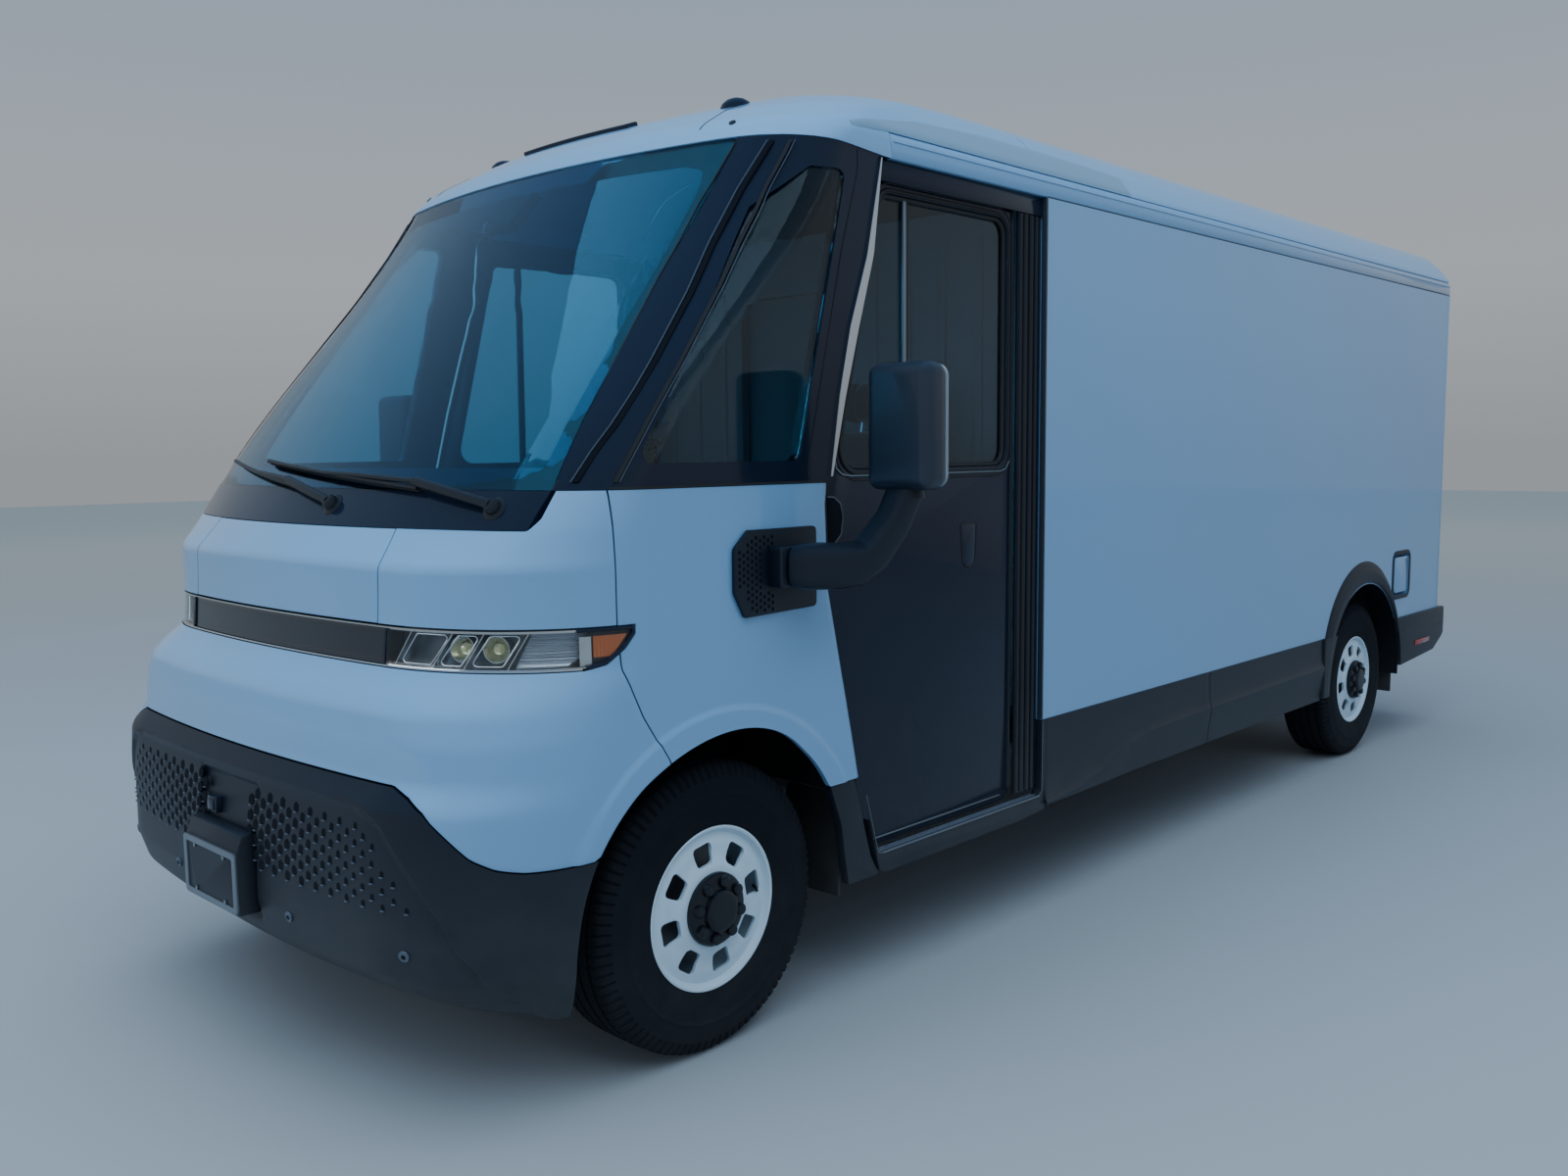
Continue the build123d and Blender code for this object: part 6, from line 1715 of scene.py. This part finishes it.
finish(join("headrest_posts", *posts), chrome)
shell = slab("seat_back_shell", oblong(0.262, 0.698, 1.11, 1.7, 0.05), 1, 0.0, 0.008, edge=0.003)
shell.data.transform(Matrix.Translation(at(0.48, 1.25, 1.4052)) @ LEAN @ Matrix.Translation((0, 0.046, 0))
    @ Matrix.Translation(-at(0.48, 0.0, 1.4052)))
finish(shell, dash_plastic)

# ---------------- floors, bulkhead and load space
# The cab floor is a moulded rubber mat; the load floor is coated ply with anti-slip ridges and
# lashing rings, and the bulkhead and walls are ribbed pale panels with a sliding door.
floor_grey = coating("floor_grey", (0.085, 0.092, 0.1), 0.7, peel=(500, 0.4, 0.0008), tones=(4.0, 0.2),
    dirt=(1.1, 0.1), slot="grey_floor")
wall_grey = coating("wall_grey", (0.3, 0.33, 0.36), 0.5, peel=(400, 0.12, 0.0004), tones=(2.0, 0.08),
    dirt=(0.9, 0.08), slot="grey_wall")


def dress(coat, *nodes):
    """Gives the CAD pieces that stay in view their material."""
    for node in nodes:
        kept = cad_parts[node]
        kept.data.materials.clear()
        kept.data.materials.append(coat)


dress(floor_grey, "load_floor", "cab_floor")
dress(wall_grey, "bulkhead", "bulkhead_door")
mat_ribs = [block("mat_rib", (x, x + 0.008), (-0.38, 0.74), (0.6295, 0.6335), 0.001)
    for x in [-0.46 + 0.04 * k for k in range(24)]]
finish(join("cab_mat_ribs", *mat_ribs), rubber)
ridges = [block("deck_ridge", (x, x + 0.012), (1.665, 5.725), (0.7295, 0.733), 0.001)
    for x in [-0.66 + 0.055 * k for k in range(25)]]
finish(join("deck_ridges", *ridges), floor_grey)
rings = []
for x, y in [(k * 0.64, y) for k in (-1, 1) for y in (1.9, 2.9, 3.9, 5.5)]:
    rings.append(tube("ring", [(x + 0.024 * cos(a * pi / 8), y + 0.024 * sin(a * pi / 8), 0.737)
        for a in range(16)], 0.004, closed=True))
    rings.append(block("ring_plate", (x - 0.032, x - 0.016), (y - 0.02, y + 0.02), (0.7315, 0.744), 0.003))
finish(join("lashing_rings", *rings), satin_metal)
box_edges = [block("wheel_box_edge", (k * 0.6985, k * 0.706)[::k], (4.125, 5.195), (0.905, 0.9345), 0.002)
    for k in (-1, 1)]
finish(join("wheel_box_edges", *box_edges), satin_metal)
wall_ribs = [block("wall_rib", (0.918, 0.9305), (y, y + 0.05), (0.76, 2.4), 0.004)
    for y in (2.34, 2.7, 3.06, 3.42, 3.78)]
wall_ribs += [block("wall_rail", (0.912, 0.9305), (1.64, 5.74), (z, z + 0.06), 0.004)
    for z in (1.25, 1.7, 2.15)]
wall_ribs += [block("wall_post", (0.918, 0.9305), (y, y + 0.05), (z, 2.4), 0.004)
    for y, z in ((4.14, 0.935), (5.24, 0.76))]
pair(join("load_wall_ribs_left", *wall_ribs), wall_grey)
bows = [block("bow", (-0.925, 0.925), (y, y + 0.06), (2.42, 2.4715), 0.006) for y in (1.65, 2.62, 3.59, 4.56,
    5.64)]
finish(join("roof_bows", *bows), wall_grey)
swages = [block("swage", (x, x + 0.04), (1.533, 1.542), (0.8, 2.38), 0.004) for x in (0.26, 0.42, 0.58, 0.74,
    -0.56, -0.72, -0.88)]
finish(join("bulkhead_swages", *swages), wall_grey)
finish(cut_away(block("door_track", (-0.463, 0.908), (1.5815, 1.6245), (2.2855, 2.3145), 0.0015),
    block("track_slot", (-0.455, 0.9), (1.592, 1.614), (2.27, 2.3), 0.0)), satin_metal)
window_frame = cut_away(slab("bulkhead_window", oblong(-0.33, 0.07, 1.48, 1.98, 0.06), 1, 1.6175, 0.006),
    slab("window_hole", oblong(-0.3, 0.04, 1.51, 1.95, 0.04), 1, 1.6, 0.05))
soften(window_frame, 0.0015)
finish(window_frame, rubber, body="bulkhead_door")
finish(slab("bulkhead_pane", oblong(-0.301, 0.041, 1.509, 1.951, 0.04), 1, 1.6185, 0.003), screen_black,
    body="bulkhead_door")
pull = slab("bulkhead_pull", oblong(-0.43, -0.396, 1.2, 1.4, 0.015), 1, 1.6185, 0.024, edge=0.005)
finish(pull, dash_plastic, body="bulkhead_door")
dress(gloss_black, "cowl_panel", "cab_frame_left", "cab_frame_right")
dress(white_paint, "side_wall_left", "side_wall_right", "rear_frame")
dress(tinted_glass, "quarter_glass")
dress(windscreen_glass, "windscreen")

# ---------------- frame, battery and running gear
# Under the floor: a painted steel ladder frame with riveted cross members, a flanged battery
# case, the drive unit, double-arm front suspension and a beam axle on two leaf springs.
frame_steel = coating("frame_steel", (0.016, 0.018, 0.021), 0.5, metal=0.2, peel=(240, 0.2, 0.0006),
    tones=(3.5, 0.35), dirt=(1.4, 0.45), slot="frame_steel")
cast_alloy = coating("cast_alloy", (0.24, 0.25, 0.26), 0.5, metal=0.85, peel=(320, 0.35, 0.0008),
    tones=(6.0, 0.25), dirt=(1.3, 0.35))
battery_case = coating("battery_case", (0.045, 0.052, 0.06), 0.45, metal=0.3, peel=(300, 0.15, 0.0005),
    tones=(2.5, 0.2), dirt=(1.3, 0.4), slot="battery_case")
spring_steel = coating("spring_steel", (0.06, 0.055, 0.05), 0.6, metal=0.7, peel=(200, 0.35, 0.0009),
    tones=(10.0, 0.5), dirt=(1.3, 0.45))
liner_black = coating("wheel_liner", (0.004, 0.0055, 0.009), 0.8, peel=(260, 0.5, 0.0012), tones=(5.0, 0.4),
    dirt=(1.1, 0.18), specular=0.15)
dress(frame_steel, "chassis_frame", "front_suspension")
dress(cast_alloy, "drive_unit", "knuckle_left", "knuckle_right")
dress(battery_case, "battery_pack")
dress(spring_steel, "leaf_springs", "rear_axle")
dress(liner_black, "wheel_houses")
CROSS = (-0.62, 0.64, 3.62, 4.25, 5.05, 5.65)
bolts = []
for x in (0.3585, 0.4415):
    for y in (*CROSS, 1.6, 2.1, 2.6, 3.1):
        for dy, z in ((-0.022, 0.52), (0.022, 0.52), (-0.022, 0.558), (0.022, 0.558)):
            bolts += [Matrix.Translation(at(k * x, y + dy, z)) @ quarter_turn("Y") for k in (-1, 1)]
finish(scattered("frame_bolts", prism(6, 0.0085, 0.01), bolts), cast_alloy)
flange = [block("battery_flange", (-0.357, 0.357), (0.722, 3.598), (z, z + 0.014), 0.003)
    for z in (0.43, 0.448)]
ribs = [block("battery_rib", (-0.35, 0.35), (y, y + 0.035), (0.3265, 0.333), 0.002) for y in [0.85 + 0.28 * n
    for n in range(10)]]
finish(join("battery_ribs", *flange, *ribs), battery_case)
lid_bolts = [Matrix.Translation(at(x, 0.8 + 0.14 * n, 0.4255)) for x in (-0.348, 0.348) for n in range(20)]
finish(scattered("battery_bolts", prism(6, 0.0075, 0.009), lid_bolts), cast_alloy)
fins = [block("motor_fin", (-0.24, 0.24), (-0.17 + 0.034 * k, -0.16 + 0.034 * k), (0.2555, 0.262), 0.002)
    for k in range(10)]
end_cap = turned("drive_cap_left", [(0.0, 0.0), (0.0, 0.105), (0.014, 0.1), (0.018, 0.07), (0.018, 0.0)], 40,
    (0.259, 0.0, 0.402))
finish(join("drive_details", *fins), cast_alloy)
pair(end_cap, cast_alloy)
pair(turned("shaft_boot_left", [(0.0, 0.021), (0.0, 0.046)]
    + [(0.01 + 0.01 * n, 0.045 - 0.003 * n + (0.004 if n % 2 else -0.003)) for n in range(7)]
    + [(0.085, 0.021)], 32, (0.282, 0.0, 0.402)), rubber)
leaves = [block("leaf", (0.502, 0.568), (4.66 - reach, 4.66 + reach), (z, z + 0.0065), 0.002)
    for reach, z in ((0.52, 0.44), (0.4, 0.433), (0.28, 0.426))]
leaves += [tube("u_bolt", [(0.492, y, 0.5), (0.492, y, 0.415), (0.578, y, 0.415), (0.578, y, 0.5)], 0.006)
    for y in (4.6, 4.71)]
leaves.append(block("spring_seat", (0.488, 0.582), (4.59, 4.72), (0.4835, 0.493), 0.003))
pair(join("spring_leaves_left", *leaves), spring_steel)
